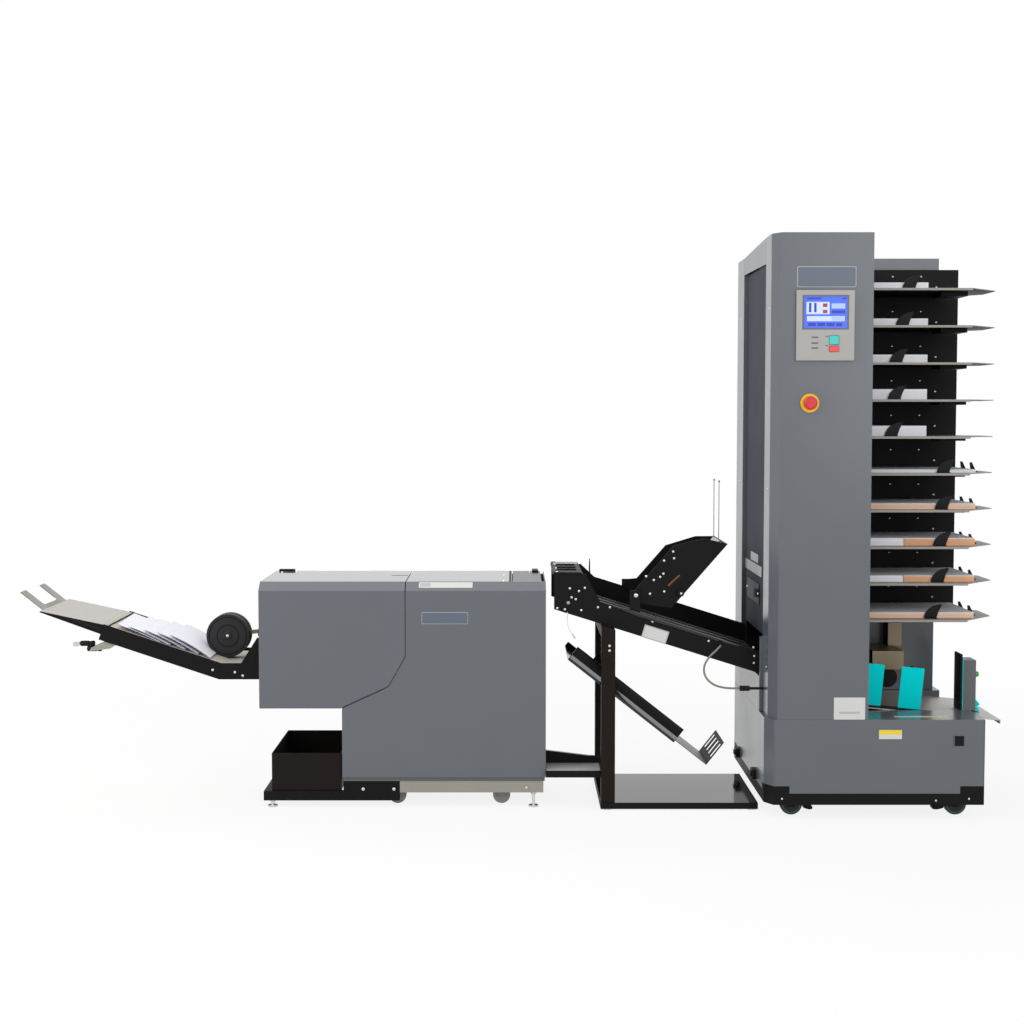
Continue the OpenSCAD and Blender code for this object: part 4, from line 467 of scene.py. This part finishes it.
def onSlope(ramp, u, y, w):  # a place u down along a ramp and w out of it
    c, s = math.cos(ramp["slope"]), math.sin(ramp["slope"])
    return at(ramp["x"] + u * c + w * s, y, ramp["z"] - u * s + w * c)


def raised(place, out, right=0.0):  # a place moved out of its own face, and to the right on it
    return place @ Matrix.Translation((right, 0, out))


def circle(r, z, count):
    turns = [math.tau * i / count for i in range(count)]
    return [(r * math.cos(turn), r * math.sin(turn), z) for turn in turns]


def roundedBox(width, height, corner, z, steps=4):
    ring = []
    for quarter, (sx, sy) in enumerate(((1, 1), (-1, 1), (-1, -1), (1, -1))):
        for k in range(steps + 1):
            turn = math.pi / 2 * (quarter + k / steps)
            ring.append((sx * (width / 2 - corner) + corner * math.cos(turn),
                         sy * (height / 2 - corner) + corner * math.sin(turn), z))
    return ring


def loft(bm, place, rings, slot=0, caps=True):  # skin over rings of equal count
    rows = [[bm.verts.new(place @ Vector(p)) for p in ring] for ring in rings]
    count = len(rows[0])
    faces = [bm.faces.new((low[i], low[(i + 1) % count], high[(i + 1) % count], high[i]))
             for low, high in zip(rows, rows[1:]) for i in range(count)]
    if caps:
        faces += [bm.faces.new(rows[0][::-1]), bm.faces.new(rows[-1])]
    for face in faces:
        face.material_index = slot
        face.smooth = True


def addTurned(bm, place, steps, slot=0, count=14, caps=True):  # round form from steps of radius and height
    loft(bm, place, [circle(r, z, count) for r, z in steps], slot, caps)


def addScrew(bm, place, r, slot=0):  # pan head with a driver recess
    addTurned(bm, place, [(r, -0.5), (r, 0.25 * r), (0.88 * r, 0.5 * r), (0.6 * r, 0.66 * r),
                          (0.42 * r, 0.68 * r), (0.36 * r, 0.3 * r)], slot)


def addPlate(bm, place, width, height, thick, corner, slot=0, edge=0.3):
    rim = roundedBox(width - 2 * edge, height - 2 * edge, max(corner - edge, 0.05), thick)
    loft(bm, place, [roundedBox(width, height, corner, z) for z in (-0.05, thick - edge)] + [rim], slot)


def addPlates(bm, side, plane, rows):  # rows: place on the face, width, height, thickness, corner, slot, edge
    for a, b, *values in rows:
        addPlate(bm, onFace(side, plane, a, b), *values)


def addFramedPlate(bm, place, width, height, border, thick, corner, slot):  # rim, and field in the next slot
    addPlate(bm, place, width, height, thick, corner, slot)
    addPlate(bm, raised(place, thick - 0.1), width - border, height - border, 0.5, corner - 1, slot + 1, 0.2)


def addBar(bm, place, outline, depth, slot=0):  # an outline in local x and y, carried along local z
    loft(bm, place, [[(x, y, z) for x, y in outline] for z in (0, depth)], slot)


def addTube(bm, line, radii, slot=0, count=10):  # round tube of changing radius along a line in row metres
    normal = None
    rings = []
    turns = [math.tau * k / count for k in range(count)]
    for i, (point, r) in enumerate(zip(line, radii)):
        along = (line[min(i + 1, len(line) - 1)] - line[max(i - 1, 0)]).normalized()
        if normal is None:
            normal = along.orthogonal().normalized()
        normal = (normal - normal.project(along)).normalized()
        across = along.cross(normal)
        rings.append([point + (normal * math.cos(a) + across * math.sin(a)) * r / 1000 for a in turns])
    loft(bm, Matrix.Identity(4), rings, slot)


def makePiece(name, bm, materials, body="line_frame", foldMm=0.0):
    bmesh.ops.recalc_face_normals(bm, faces=bm.faces)
    mesh = bpy.data.meshes.new(name)
    bm.to_mesh(mesh)
    bm.free()
    for material in materials:
        mesh.materials.append(material)
    mesh.set_sharp_from_angle(angle=math.radians(32))
    piece = bpy.data.objects.new(name, mesh)
    scene.collection.objects.link(piece)
    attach(piece, body)
    if foldMm:
        addFold(piece, foldMm, 35)
    return piece


# Planes of the solids' faces that the added pieces sit on, and the bins' heights, in line mm
hoodFront, hoodTop, bridgePlate, hopperPlate, nipTop = -220, 776, -205, -190, 810.4
towerFront, baseFront, bezelFront, baseTop, binRear = -380, -382, -392.3, 334, 212
baseLeft, coverLeft, panelLeft = 1712, 1723, 1725
bins = {"z": 646, "pitch": 125.67, "count": 10}
floors = [bins["z"] + bins["pitch"] * i for i in range(bins["count"])]

# Screw heads by body: the face they sit on, its plane, the head's radius and finish, and places on that face
screws = {
    "line_frame": [
        ("front", bridgePlate, 4.2, 0, [
            (1064, 755), (1095, 746), (1115, 757), (1070, 724), (1084, 718), (1021, 687), (1047, 683),
            (1103, 680), (1160, 690), (1201, 690), (1347, 641), (1540, 574), (1694, 552), (1697, 522),
            (1696, 498)]),
        ("front", bridgePlate, 7.5, 0, [(1290, 731)]),  # hopper pivot
        ("front", -192, 4.6, 0, [(-163, 472), (-87, 464), (-60, 452)]),  # delivery rail
        ("front", -213, 6.0, 0, [(354, 62.4), (460, 62.4)]),  # bin rack bolts
        ("front", -213, 4.5, 0, [(915, 67)]),  # under-frame
        ("front", -262, 4.5, 0, [(1197, 565), (1197, 549)]),  # stand post
        ("front", towerFront, 3.6, 0, [(1767, 68), (2281, 62), (2391, 68)]),  # plinth
        ("front", binRear, 4.4, 1, [(x, z + 72) for z in floors for x in (2251, 2354)]),
        ("front", binRear, 5.2, 1, [(2410, z + 33) for z in floors]),
        ("left", coverLeft, 3.4, 0, [(-300, 500), (-300, 1100), (-300, 1700)]),  # front cover
        ("left", baseLeft, 3.4, 0, [(300, 500), (300, 1100), (300, 1700)])],  # rear cover
    "cover_hopper": [
        ("front", hopperPlate, 4.2, 0, [
            (1387, 849), (1421, 857), (1418, 880), (1326, 795), (1352, 782), (1374, 793), (1385, 804),
            (1339, 735), (1388, 743)])],
    "right_hood": [("top", hoodTop, 4.0, 0, [(838, 52), (838, -152), (930, 150)])],
    "left_hood": [("top", hoodTop, 4.0, 0, [(30, 150), (80, 170)])]}
for body, groups in screws.items():
    bm = bmesh.new()
    for side, plane, radius, slot, places in groups:
        for a, b in places:
            addScrew(bm, onFace(side, plane, a, b), radius, slot)
    makePiece("screws_" + body, bm, [zincPlate, polishedSteel], body)
print("screws set")

# Booklet maker: blank strip and outlined plate, seam and latch, hinge cap and pull slot, lock nuts
maker = {"strip": (639, -195, 765.5), "stripSize": (184, 29), "insetX": -70, "insetSize": (36, 20),
         "bevelOut": (0, -28, 40), "bevelUp": (0, 40, 28),
         "namePlate": (636.5, 654.5), "nameSize": (159, 41), "border": 3.2,
         "seamAndLatch": ((860, 15, 8, 380, 0.5, 1, 3, 0.2), (950, 165, 22, 76, 9, 3, 3, 1.5)),
         "capAndSlot": ((41, 204, 58, 20, 7, 3, 0, 1.5), (466, 36, 60, 5, 0.6, 2.4, 0, 0.2)),
         "nuts": ((41, 13), (940, 41)), "nutY": 197, "nutSteps": ((9, 0), (9.4, 1), (9.4, 7), (8.6, 8))}
bm = bmesh.new()
bevel = facing(at(*maker["strip"]), maker["bevelOut"], maker["bevelUp"])
addPlate(bm, bevel, *maker["stripSize"], 0.5, 3, 0)
addPlate(bm, raised(bevel, 0.5, maker["insetX"]), *maker["insetSize"], 0.3, 2, 1, 0.1)
namePlace = onFace("front", hoodFront, *maker["namePlate"])
addFramedPlate(bm, namePlace, *maker["nameSize"], maker["border"], 0.6, 4, 1)
addPlates(bm, "top", hoodTop, maker["seamAndLatch"])
makePiece("right_hood_trim", bm, [whiteLabel, greyLabel, slatePlate, blackPowderCoat], "right_hood")
bm = bmesh.new()
addPlates(bm, "top", hoodTop, maker["capAndSlot"])
makePiece("left_hood_trim", bm, [blackMoulding], "left_hood")
bm = bmesh.new()
for x, z in maker["nuts"]:
    for y in (-maker["nutY"], maker["nutY"]):
        addTurned(bm, onSide(x, y, z, "top"), maker["nutSteps"], 0, 6)
makePiece("foot_nuts", bm, [zincPlate])
print("maker trimmed")

# Delivery: clamp under the rail's end with two knobs and a wing screw
clamp = {"plateAt": (-588, -110, 536), "plate": ((0, 0), (70, 8), (92, 34), (58, 34), (6, 12)), "deep": 74,
         "knobs": ((-584, -150, 558), (-560, -150, 540)),
         "knobSteps": ((8, -6), (9.5, -4), (9.5, 6), (8, 8), (8, 12), (9.5, 14), (9.5, 40), (7.5, 44)),
         "rod": ((-612, -150, 566), (-626, -152, 562), (-640, -154, 556)), "rodRadii": (3, 3, 2.6),
         "wing": (-640, -158, 557), "wingSize": (22, 16)}
bm = bmesh.new()
addBar(bm, onSide(*clamp["plateAt"], "front"), clamp["plate"], clamp["deep"], 0)
for place in clamp["knobs"]:
    addTurned(bm, onSide(*place, "left"), clamp["knobSteps"], 1)
addTube(bm, [at(*p) for p in clamp["rod"]], clamp["rodRadii"], 2)
addPlate(bm, onSide(*clamp["wing"], "front"), *clamp["wingSize"], 3, 4, 2)
makePiece("tray_clamp", bm, [creamPowderCoat, blackMoulding, zincPlate], foldMm=0.6)

# Raised rings on the press wheels' faces, and screws in the ends of their axle
press = {"x": -138, "z": 568.7, "halfWide": 34, "axleHalf": 38, "rings": (66, 38), "screwR": 5.5}
bm = bmesh.new()
for side, way in bothFaces:
    place = onSide(press["x"], way * press["halfWide"], press["z"], side)
    for r in press["rings"]:
        steps = [(r + 1.6, -0.2), (r + 1.2, 0.9), (r - 1.2, 0.9), (r - 1.6, -0.2)]
        addTurned(bm, place, steps, 0, 48, False)
makePiece("press_wheel_rims", bm, [blackMoulding], "press_wheels")
bm = bmesh.new()
for side, way in bothFaces:
    addScrew(bm, onSide(press["x"], way * press["axleHalf"], press["z"], side), press["screwR"])
makePiece("press_axle_screws", bm, [zincPlate], "press_arm")
print("delivery fitted")

# Bridge: rolled lip on the near plate, bare label, and strips, guides, screws and pin on the nip unit
bridge = {"x": 1170, "z": 633, "slope": math.radians(17.4), "lip": (22, 476), "lipY": -204.5, "lipW": 70,
          "lipOut": 7, "lipHalfHigh": 9, "lipSteps": 24, "arcSteps": 12,
          "label": (1357, 597), "labelSize": (88, 45), "labelField": (80, 37),
          "strips": ((1058, 120, 86, 16, 2.5, 2, 0), (1062, 172, 74, 16, 2.5, 2, 0)),
          "guideY": (-120, -40, 60), "guide": (66, 10, 5, 2, 1), "guideX": 1056,
          "screwX": 1020, "screwY": (-196, -60, 90),
          "pin": ((1150, 190, 770), (1150, 190, 800), (1150, 188, 822)), "pinRadii": (3, 2.4, 1.6)}
bm = bmesh.new()
rings = []
lipFrom, lipTo = bridge["lip"]
turns = [math.pi * a / bridge["arcSteps"] for a in range(bridge["arcSteps"] + 1)]
for k in range(bridge["lipSteps"] + 1):  # half-round fold that thins out at both ends
    grow = min(1, 0.25 + k / 5, 0.25 + (bridge["lipSteps"] - k) / 5)
    u = lipFrom + (lipTo - lipFrom) * k / bridge["lipSteps"]
    rings.append([onSlope(bridge, u, bridge["lipY"] - grow * bridge["lipOut"] * math.sin(a),
                          bridge["lipW"] - grow * bridge["lipHalfHigh"] * math.cos(a)) for a in turns])
loft(bm, Matrix.Identity(4), rings)
makePiece("bridge_lip", bm, [blackGloss])
bm = bmesh.new()
labelX, labelZ = bridge["label"]
labelUp = (math.sin(bridge["slope"]), 0, math.cos(bridge["slope"]))
label = facing(at(labelX, bridgePlate, labelZ), (0, -1, 0), labelUp)
addPlate(bm, label, *bridge["labelSize"], 0.5, 2, 0)
addPlate(bm, raised(label, 0.4), *bridge["labelField"], 0.3, 1.5, 1, 0.1)
makePiece("bridge_label", bm, [greyLabel, whiteLabel])
bm = bmesh.new()
addPlates(bm, "top", nipTop, bridge["strips"])
addPlates(bm, "top", nipTop, [(bridge["guideX"], y, *bridge["guide"]) for y in bridge["guideY"]])
for y in bridge["screwY"]:
    addScrew(bm, onFace("top", nipTop, bridge["screwX"], y), 4, 0)
addTube(bm, [at(*p) for p in bridge["pin"]], bridge["pinRadii"], 1)
makePiece("nip_fittings", bm, [zincPlate, blackMoulding])

# Loose lead that hangs from the bridge's near plate, with a small connector on its end
lead = {"diameterMm": 2.2, "route": [
    (1056, -206, 674), (1056, -207, 660), (1055, -207, 646), (1060, -206, 619), (1074, -206, 596)],
    "tip": [(1073, -206, 598), (1078, -206, 590), (1083, -206, 583)], "tipRadii": (2.6, 3, 2.4)}
leadLine = smoothLine([at(*p) for p in lead["route"]], 4)
bm = bmesh.new()
addTube(bm, leadLine, [lead["diameterMm"] / 2] * len(leadLine), 0, 12)
looseLead = makePiece("loose_lead", bm, [whiteSheath])
bm = bmesh.new()
addTube(bm, [at(*p) for p in lead["tip"]], lead["tipRadii"], 0, 8)
leadTip = makePiece("lead_connector", bm, [whiteSheath])

# Cover hopper: slot with its copper bar, and a thumb knob with a screw in it
hopper = {"slot": (1424, 779), "slotSize": (62, 17), "bar": (1421, 781), "barSize": (54, 5),
          "tilt": math.radians(43), "knob": (1444, 738), "knobMm": 22,
          "knobSteps": ((9, -0.2), (9, 4), (6, 5), (6, 9), (11, 11), (11, 20), (9, 22))}
slotUp = (-math.sin(hopper["tilt"]), 0, math.cos(hopper["tilt"]))
(slotX, slotZ), (barX, barZ) = hopper["slot"], hopper["bar"]
bm = bmesh.new()
addPlate(bm, facing(at(slotX, hopperPlate, slotZ), (0, -1, 0), slotUp), *hopper["slotSize"], 0.6, 6, 1)
addPlate(bm, facing(at(barX, hopperPlate - 0.5, barZ), (0, -1, 0), slotUp), *hopper["barSize"], 1.6, 2, 0)
addTurned(bm, onFace("front", hopperPlate, *hopper["knob"]), hopper["knobSteps"], 2)
addScrew(bm, onFace("front", hopperPlate - hopper["knobMm"], *hopper["knob"]), 4, 3)
makePiece("hopper_fittings", bm, [copperBar, blackMoulding, blackMoulding, zincPlate], "cover_hopper")

# Reject tray: near side rolled under, so that its bright lower edge turns to the floor; profiles in y and w
reject = {"x": 1057, "z": 508, "slope": math.radians(38.2), "ends": (2, 464), "profiles": (
    ((-194.6, 57), (-198, 53), (-199.6, 46), (-200, 36), (-199.8, 29), (-199.4, 23), (-194.6, 22)),
    ((-199.4, 22.6), (-197.4, 14), (-193.6, 7), (-188, 1.5), (-181, -0.8), (-181, 0.4), (-190, 8),
     (-194.6, 20)))}
bm = bmesh.new()
for slot, profile in enumerate(reject["profiles"]):
    rings = [[onSlope(reject, u, y, w) for y, w in profile] for u in reject["ends"]]
    loft(bm, Matrix.Identity(4), rings, slot)
makePiece("reject_tray_side", bm, [blackPowderCoat, polishedSteel])

# Pale plate on the docking shelf's top: painted reflection of the pale room, which the shelf's glossy top
# mirrors at a grazing view
dock = {"middle": (1076, -178, 132), "long": 184, "deep": 120, "thick": 0.8}
bm = bmesh.new()
addPlate(bm, onSide(*dock["middle"], "top"), dock["long"], dock["deep"], dock["thick"], 2)
makePiece("dock_painted_reflection_plate", bm, [pearlPowderCoat])
print("bridge fitted")

# Ribbed strain relief that tapers along the cable from its gland
relief = {"longMm": 26, "radii": (6.4, 4.2), "ribMm": 0.7}
along, gone = [], 0.0
for a, b in zip(cableLine, cableLine[1:]):
    along.append((a, gone))
    gone += (b - a).length * 1000
    if gone > relief["longMm"]:
        break
wide, narrow = relief["radii"]
ribs = [wide + (narrow - wide) * far / relief["longMm"] - (relief["ribMm"] if i % 2 else 0)
        for i, (point, far) in enumerate(along)]
bm = bmesh.new()
addTube(bm, [point for point, far in along], ribs, 0, 14)
reliefPiece = makePiece("cable_strain_relief", bm, [blackMoulding])
print("cable ends made")

# Tower front: bare outlined plate, white plate with its bar, two-toned plate, and a strip on the base's top
tower = {"namePlate": (1897, 1799), "nameSize": (194, 68), "border": 4.5,
         "white": (1989, 372, 104, 74, 0.6, 2, 2), "whiteBar": (1989, 358, 70, 7, 0.3, 1.5, 0, 0.1),
         "pale": (2126, 285, 77, 31, 0.5, 2, 2), "paleHalf": (2126, 292.25, 75, 14.5, 0.4, 1.5, 3, 0.1),
         "strip": (2240, -322, 178, 20, 0.5, 2, 2), "stripPatch": (2286, -322, 70, 16, 0.3, 1, 3, 0.1)}
bm = bmesh.new()
namePlace = onFace("front", towerFront, *tower["namePlate"])
addFramedPlate(bm, namePlace, *tower["nameSize"], tower["border"], 0.7, 5, 0)
for side, plane, key in (("front", towerFront, "white"), ("front", towerFront - 0.5, "whiteBar"),
                         ("front", baseFront, "pale"), ("front", baseFront - 0.4, "paleHalf"),
                         ("top", baseTop, "strip"), ("top", baseTop + 0.4, "stripPatch")):
    addPlates(bm, side, plane, [tower[key]])
makePiece("tower_plates", bm, [greyLabel, slatePlate, whiteLabel, yellowLabel])

# Lit screen picture: plain blocks and bars, by finish, left, top, right and bottom in a layout of 240 by 180
screen = {"left": 1817, "top": 1738, "perMmX": 240 / 152, "perMmZ": 180 / 111, "face": -390.3,
          "lift": (0, 0.25, 0.45, 0.45, 0.45), "parts": (
              (0, 10, 8, 230, 172), (1, 20, 35, 140, 100), (2, 33, 40, 45, 90), (2, 60, 40, 72, 90),
              (3, 105, 43, 128, 62), (3, 105, 77, 128, 95), (4, 150, 43, 220, 70), (2, 150, 80, 220, 95),
              (1, 23, 110, 218, 137), (4, 150, 112, 214, 135), (2, 30, 146, 70, 163), (2, 78, 146, 118, 163),
              (2, 126, 146, 166, 163), (2, 174, 146, 206, 163), (2, 204, 12, 226, 22), (2, 22, 12, 96, 22))}
bm = bmesh.new()
for slot, left, top, right, bottom in screen["parts"]:
    x = screen["left"] + (left + right) / 2 / screen["perMmX"]
    z = screen["top"] - (top + bottom) / 2 / screen["perMmZ"]
    long, high = (right - left) / screen["perMmX"], (bottom - top) / screen["perMmZ"]
    place = onFace("front", screen["face"] - screen["lift"][slot], x, z)
    addPlate(bm, place, long, high, 0.25, 0.6, slot, 0.05)
makePiece("screen_picture", bm, [screenBlue, screenPale, screenDeep, screenRed, screenGrey])
bezel = {"barX": 1858, "barZ": (1601, 1582, 1566), "bar": (22, 5, 0.3, 1.5, 0, 0.1),
         "tickX": 1897, "tickZ": (1604, 1574), "tick": (8, 4, 0.3, 1.2, 0, 0.1)}
bm = bmesh.new()
for key in ("bar", "tick"):
    addPlates(bm, "front", bezelFront, [(bezel[key + "X"], z, *bezel[key]) for z in bezel[key + "Z"]])
makePiece("bezel_marks", bm, [panelPowderCoat])
print("tower front fitted")

# Tower left side: blank labels and latch plate on the transport panel, and sockets near the floor
transport = {"labels": ((-1.5, 845, 173, 30, 0.5, 2, 0), (25, 806, 380, 36, 0.5, 2, 0)),
             "latch": (14, 726, 286, 71, 3, 6, 1), "latchMm": 3, "latchScrews": ((-112, 726), (140, 726)),
             "sockets": ((262, 92), (-150, 104)), "socketMm": 14}
bm = bmesh.new()
addPlates(bm, "left", panelLeft, [*transport["labels"], transport["latch"]])
for y, z in transport["latchScrews"]:
    addScrew(bm, onFace("left", panelLeft - transport["latchMm"], y, z), 5, 2)
for y, z in transport["sockets"]:
    socket = onFace("left", baseLeft, y, z)
    addPlate(bm, socket, 52, 34, transport["socketMm"], 5, 1, 2)
    addPlate(bm, raised(socket, transport["socketMm"]), 30, 18, 5, 4, 1, 1.5)
makePiece("transport_labels", bm, [greyLabel, blackMoulding, zincPlate])

# Trim at the front cover's foot, in plan: an upright strip, and the ledge between base and narrower cover
coverTrim = {"stripZ": 336, "stripHigh": 256, "ledgeZ": 334.05, "ledgeHigh": 0.6, "strip": (
    (1712.4, -215.6), (1712.4, -224), (1714.4, -226.4), (1722.6, -226.4), (1722.6, -215.6)), "ledge": (
    (1712.6, -226.8), (1712.6, -334.8), (1738.4, -379.4), (1748.6, -379.4), (1722.6, -335), (1722.6, -226.8))}
bm = bmesh.new()
for key in ("strip", "ledge"):
    addBar(bm, onSide(0, 0, coverTrim[key + "Z"], "top"), coverTrim[key], coverTrim[key + "High"])
makePiece("cover_edge_trim", bm, [greyPowderCoat])
print("tower side fitted")

# Green rings on both faces of the tower's wheels
wheel = {"left": 1808, "right": 2362, "y": 309, "halfWide": 13, "z": 37.5,
         "ringSteps": ((33, -0.2), (32.6, 0.7), (28, 0.7), (27.6, -0.2))}
for end in ("left", "right"):
    body = "tower_" + end + "_wheels"
    bm = bmesh.new()
    for y in (-wheel["y"], wheel["y"]):
        for side, way in bothFaces:
            place = onSide(wheel[end], y + way * wheel["halfWide"], wheel["z"], side)
            addTurned(bm, place, wheel["ringSteps"], 0, 40, False)
    makePiece(body + "_rings", bm, [greenTyre], body)
print("wheels ringed")

# Paper in the bins: cut layers a little out of line; two of the stacks carry two stocks end to end
stacks = {"x": 2010, "liftMm": 0.2, "halfWide": 147.6, "lessMm": 6, "layerMm": 2.2, "seed": 7,
          "shares": (0.2, 0.22, 0.25, 0.205, 0.135, 0.33, 0.33, 0.27, 0.25, 0.225),  # of the bin's height
          "parts": (  # left, right and stock of each stack, from the lowest bin up
              [(0, 454, 1)], [(0, 208, 0), (209, 454, 2)], [(0, 208, 0), (209, 454, 2)], [(0, 454, 1)],
              [(0, 454, 3)], [(0, 281, 0)], [(0, 281, 0)], [(0, 281, 0)], [(0, 281, 0)], [(0, 281, 0)])}
dice = random.Random(stacks["seed"])
bm = bmesh.new()
for floorZ, share, parts in zip(floors, stacks["shares"], stacks["parts"]):
    high = share * bins["pitch"] - stacks["lessMm"]
    layers = max(3, round(high / stacks["layerMm"]))
    for left, right, slot in parts:
        for k in range(layers):
            dx, dy = dice.uniform(-0.5, 0.2), dice.uniform(-0.4, 0.4)
            z = floorZ + stacks["liftMm"] + high * k / layers
            place = onSide(stacks["x"] + (left + right) / 2 + dx, dy, z, "top")
            skin = slot if k < layers - 1 else 0  # every stack ends in a white sheet
            addPlate(bm, place, right - left - 1, 2 * stacks["halfWide"] - 1, high / layers, 0.8, skin, 0.15)
binPaper = makePiece("bin_paper", bm, [whiteStock, peachStock, orangeStock, coolStock])
print("bins filled")

# Delivery's slope, and the black cross bar between the rails' ends, behind the belt's roller
delivery = {"x": -142, "z": 439, "slope": math.radians(18.5)}
endBar = {"u": 431.2, "w": 31.5, "long": 375.4, "high": 23.5, "thick": 3.4}
slopeC, slopeS = math.cos(delivery["slope"]), math.sin(delivery["slope"])
bm = bmesh.new()
middle = onSlope(delivery, -endBar["u"], 0, endBar["w"])
addPlate(bm, facing(middle, (-slopeC, 0, slopeS), (slopeS, 0, slopeC)),
         endBar["long"], endBar["high"], endBar["thick"], 1)
makePiece("delivery_end_bar", bm, [blackPowderCoat])

# Web that joins the end tray's two prongs into a U, in the prongs' plane
web = {"u": 657, "w": 25.5, "rise": math.radians(38.5), "halfWide": 83, "high": 19, "cornerR": 13,
       "cornerSteps": 5, "thick": 3}
webC, webS = math.cos(web["rise"]), math.sin(web["rise"])
turns = [math.pi / 2 * k / web["cornerSteps"] for k in range(web["cornerSteps"] + 1)]
corner = [(web["halfWide"] - web["cornerR"] * (1 - math.cos(turn)),
           web["high"] + web["cornerR"] * (1 - math.sin(turn))) for turn in turns]
outline = [(-web["halfWide"], 0), (web["halfWide"], 0)] + corner + [(-x, y) for x, y in corner[::-1]]
bm = bmesh.new()
middle = onSlope(delivery, -web["u"], 0, web["w"])
addBar(bm, facing(middle, (webS, 0, webC), (-webC, 0, webS)), outline, web["thick"])
makePiece("prong_web", bm, [prongPaint], "delivery_extension", 0.4)

# Foot pedals of the tower's casters: the left pair points right, the right pair left on arms of its own
pedal = {"halfWide": 17, "casters": (("left", 1, 72), ("right", -1, 78)), "armY": 17.1, "armThick": 2.4,
         "arm": ((-44, 31), (-8, 31), (-8, 38), (-44, 38))}
bm = bmesh.new()
for end, way, reach in pedal["casters"]:
    profile = [(41, 38.4), (63, 38.4), (reach, 27), (reach - 1, 20), (reach - 12, 18.5), (54, 20), (41, 24)]
    outline = [(way * x, z) for x, z in profile]
    for y in (-wheel["y"], wheel["y"]):
        addBar(bm, onSide(wheel[end], y + pedal["halfWide"], 0, "front"), outline, 2 * pedal["halfWide"])
        for armY in (-pedal["armY"], pedal["armY"] + pedal["armThick"]) if way < 0 else ():
            addBar(bm, onSide(wheel[end], y + armY, 0, "front"), pedal["arm"], pedal["armThick"])
makePiece("brake_pedals", bm, [blackPowderCoat], foldMm=0.6)
print("tray end and pedals fitted")

# Booklets on the delivery belt: each rides up on the ones before it, the newest on top by the press wheel
booklets = {"count": 5, "leaves": 3, "first": 58, "step": 47, "long": 156, "halfWide": 147, "lessMm": 4,
            "belt": 48.4, "high": (35, 13), "turnDeg": 2.4, "seed": 5, "gapShare": 0.045, "thickShare": 0.025,
            "thinnest": 0.5, "swell": 0.16, "ringSteps": 16,
            "crown": ((-1, 0), (-0.5, 0.4), (0, 0.6), (0.5, 0.4), (1, 0))}
dice = random.Random(booklets["seed"])
newest, oldest = booklets["high"]
bm = bmesh.new()
for k in range(booklets["count"]):
    foldHigh = newest + (oldest - newest) * (k / (booklets["count"] - 1))  # height of the leading fold
    start = booklets["first"] + booklets["step"] * k
    turn = math.radians(dice.uniform(-booklets["turnDeg"], booklets["turnDeg"])) * (1 if k else 0)
    half = booklets["halfWide"] - dice.uniform(0, booklets["lessMm"])
    gap = booklets["gapShare"] * foldHigh
    thick = max(booklets["thinnest"], booklets["thickShare"] * foldHigh)
    for leaf in range(booklets["leaves"]):  # leaves splay open at the trailing edge and meet at the fold
        rings = []
        for j in range(booklets["ringSteps"] + 1):
            t = j / booklets["ringSteps"]
            u = start + leaf * 2.2 * (1 - t) + (booklets["long"] - leaf * 0.6 - 2 * leaf * (1 - t)) * t
            splay = gap * (booklets["leaves"] - leaf) * (1 - 0.6 * t)
            level = foldHigh * (t + booklets["swell"] * math.sin(math.pi * t)) + splay
            ring = [(y, level - thick + crown) for y, crown in booklets["crown"]]
            ring += [(y, w + thick) for y, w in ring[::-1]]
            rings.append([onSlope(delivery, -u - math.sin(turn) * y * half, y * half * math.cos(turn),
                                  booklets["belt"] + w) for y, w in ring])
        # The top leaf is white, and the lower leaves take the darker lavender-grey stock: painted shade
        # between the leaves
        loft(bm, Matrix.Identity(4), rings, min(leaf, 1))
makePiece("booklet_pile", bm, [whiteStock, leafShadeStock])
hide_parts("paper")
print("booklets laid")

# Deck end stop: tall black face, teal sheet, grey housing, green knob and teal foot
stop = {"x": 2438.7, "y": (-82, -2), "z": 310.4, "high": 199, "faceMm": 8, "tealMm": 3, "houseHigh": 178,
        "wide": 56, "knobShare": 0.62, "footDeep": 56, "footDrop": 2,
        "knobSteps": ((5, -1), (5, 7), (8.5, 8), (9.5, 9.5), (9.5, 17), (8, 18.6)),
        "foot": ((0, 0), (19, -2), (7, 14), (19, 22), (0, 44))}
midY, deep = sum(stop["y"]) / 2, stop["y"][1] - stop["y"][0]
sheetX, rearX = stop["faceMm"] + stop["tealMm"], stop["x"] + stop["wide"]
bm = bmesh.new()
for slot, (x0, x1, high) in enumerate((  # each upright is 1 mm narrower at both ends than the one before it
        (0, stop["faceMm"], stop["high"]), (stop["faceMm"] + 0.1, sheetX, stop["houseHigh"] + 8),
        (sheetX + 0.1, stop["wide"], stop["houseHigh"]))):
    place = onSide(stop["x"] + (x0 + x1) / 2, midY, stop["z"] + 1, "top")
    addPlate(bm, place, x1 - x0, deep - 2 * slot, high - 1, 1.2, slot, 0.8)
knob = onSide(rearX, midY, stop["z"] + stop["knobShare"] * stop["high"], "right")
addTurned(bm, knob, stop["knobSteps"], 3)
foot = onSide(rearX, midY + stop["footDeep"] / 2, stop["z"] - stop["footDrop"], "front")
addBar(bm, foot, stop["foot"], stop["footDeep"], 1)
stopPiece = makePiece("deck_stop", bm, [blackMoulding, tealPowderCoat, panelPowderCoat, greenKnob],
                      "deck_end_stop", 0.5)
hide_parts("deck_end_stop")

# Adjusting notches in the teal guides
notches = {"y": -182, "places": ((2105, 492), (2243, 480)), "size": (14, 7)}
bm = bmesh.new()
addPlates(bm, "front", notches["y"], [(x, z, *notches["size"], 0.4, 3, 0, 0.1) for x, z in notches["places"]])
makePiece("guide_notches", bm, [blackMoulding], "deck_side_guides")
print("deck fitted")
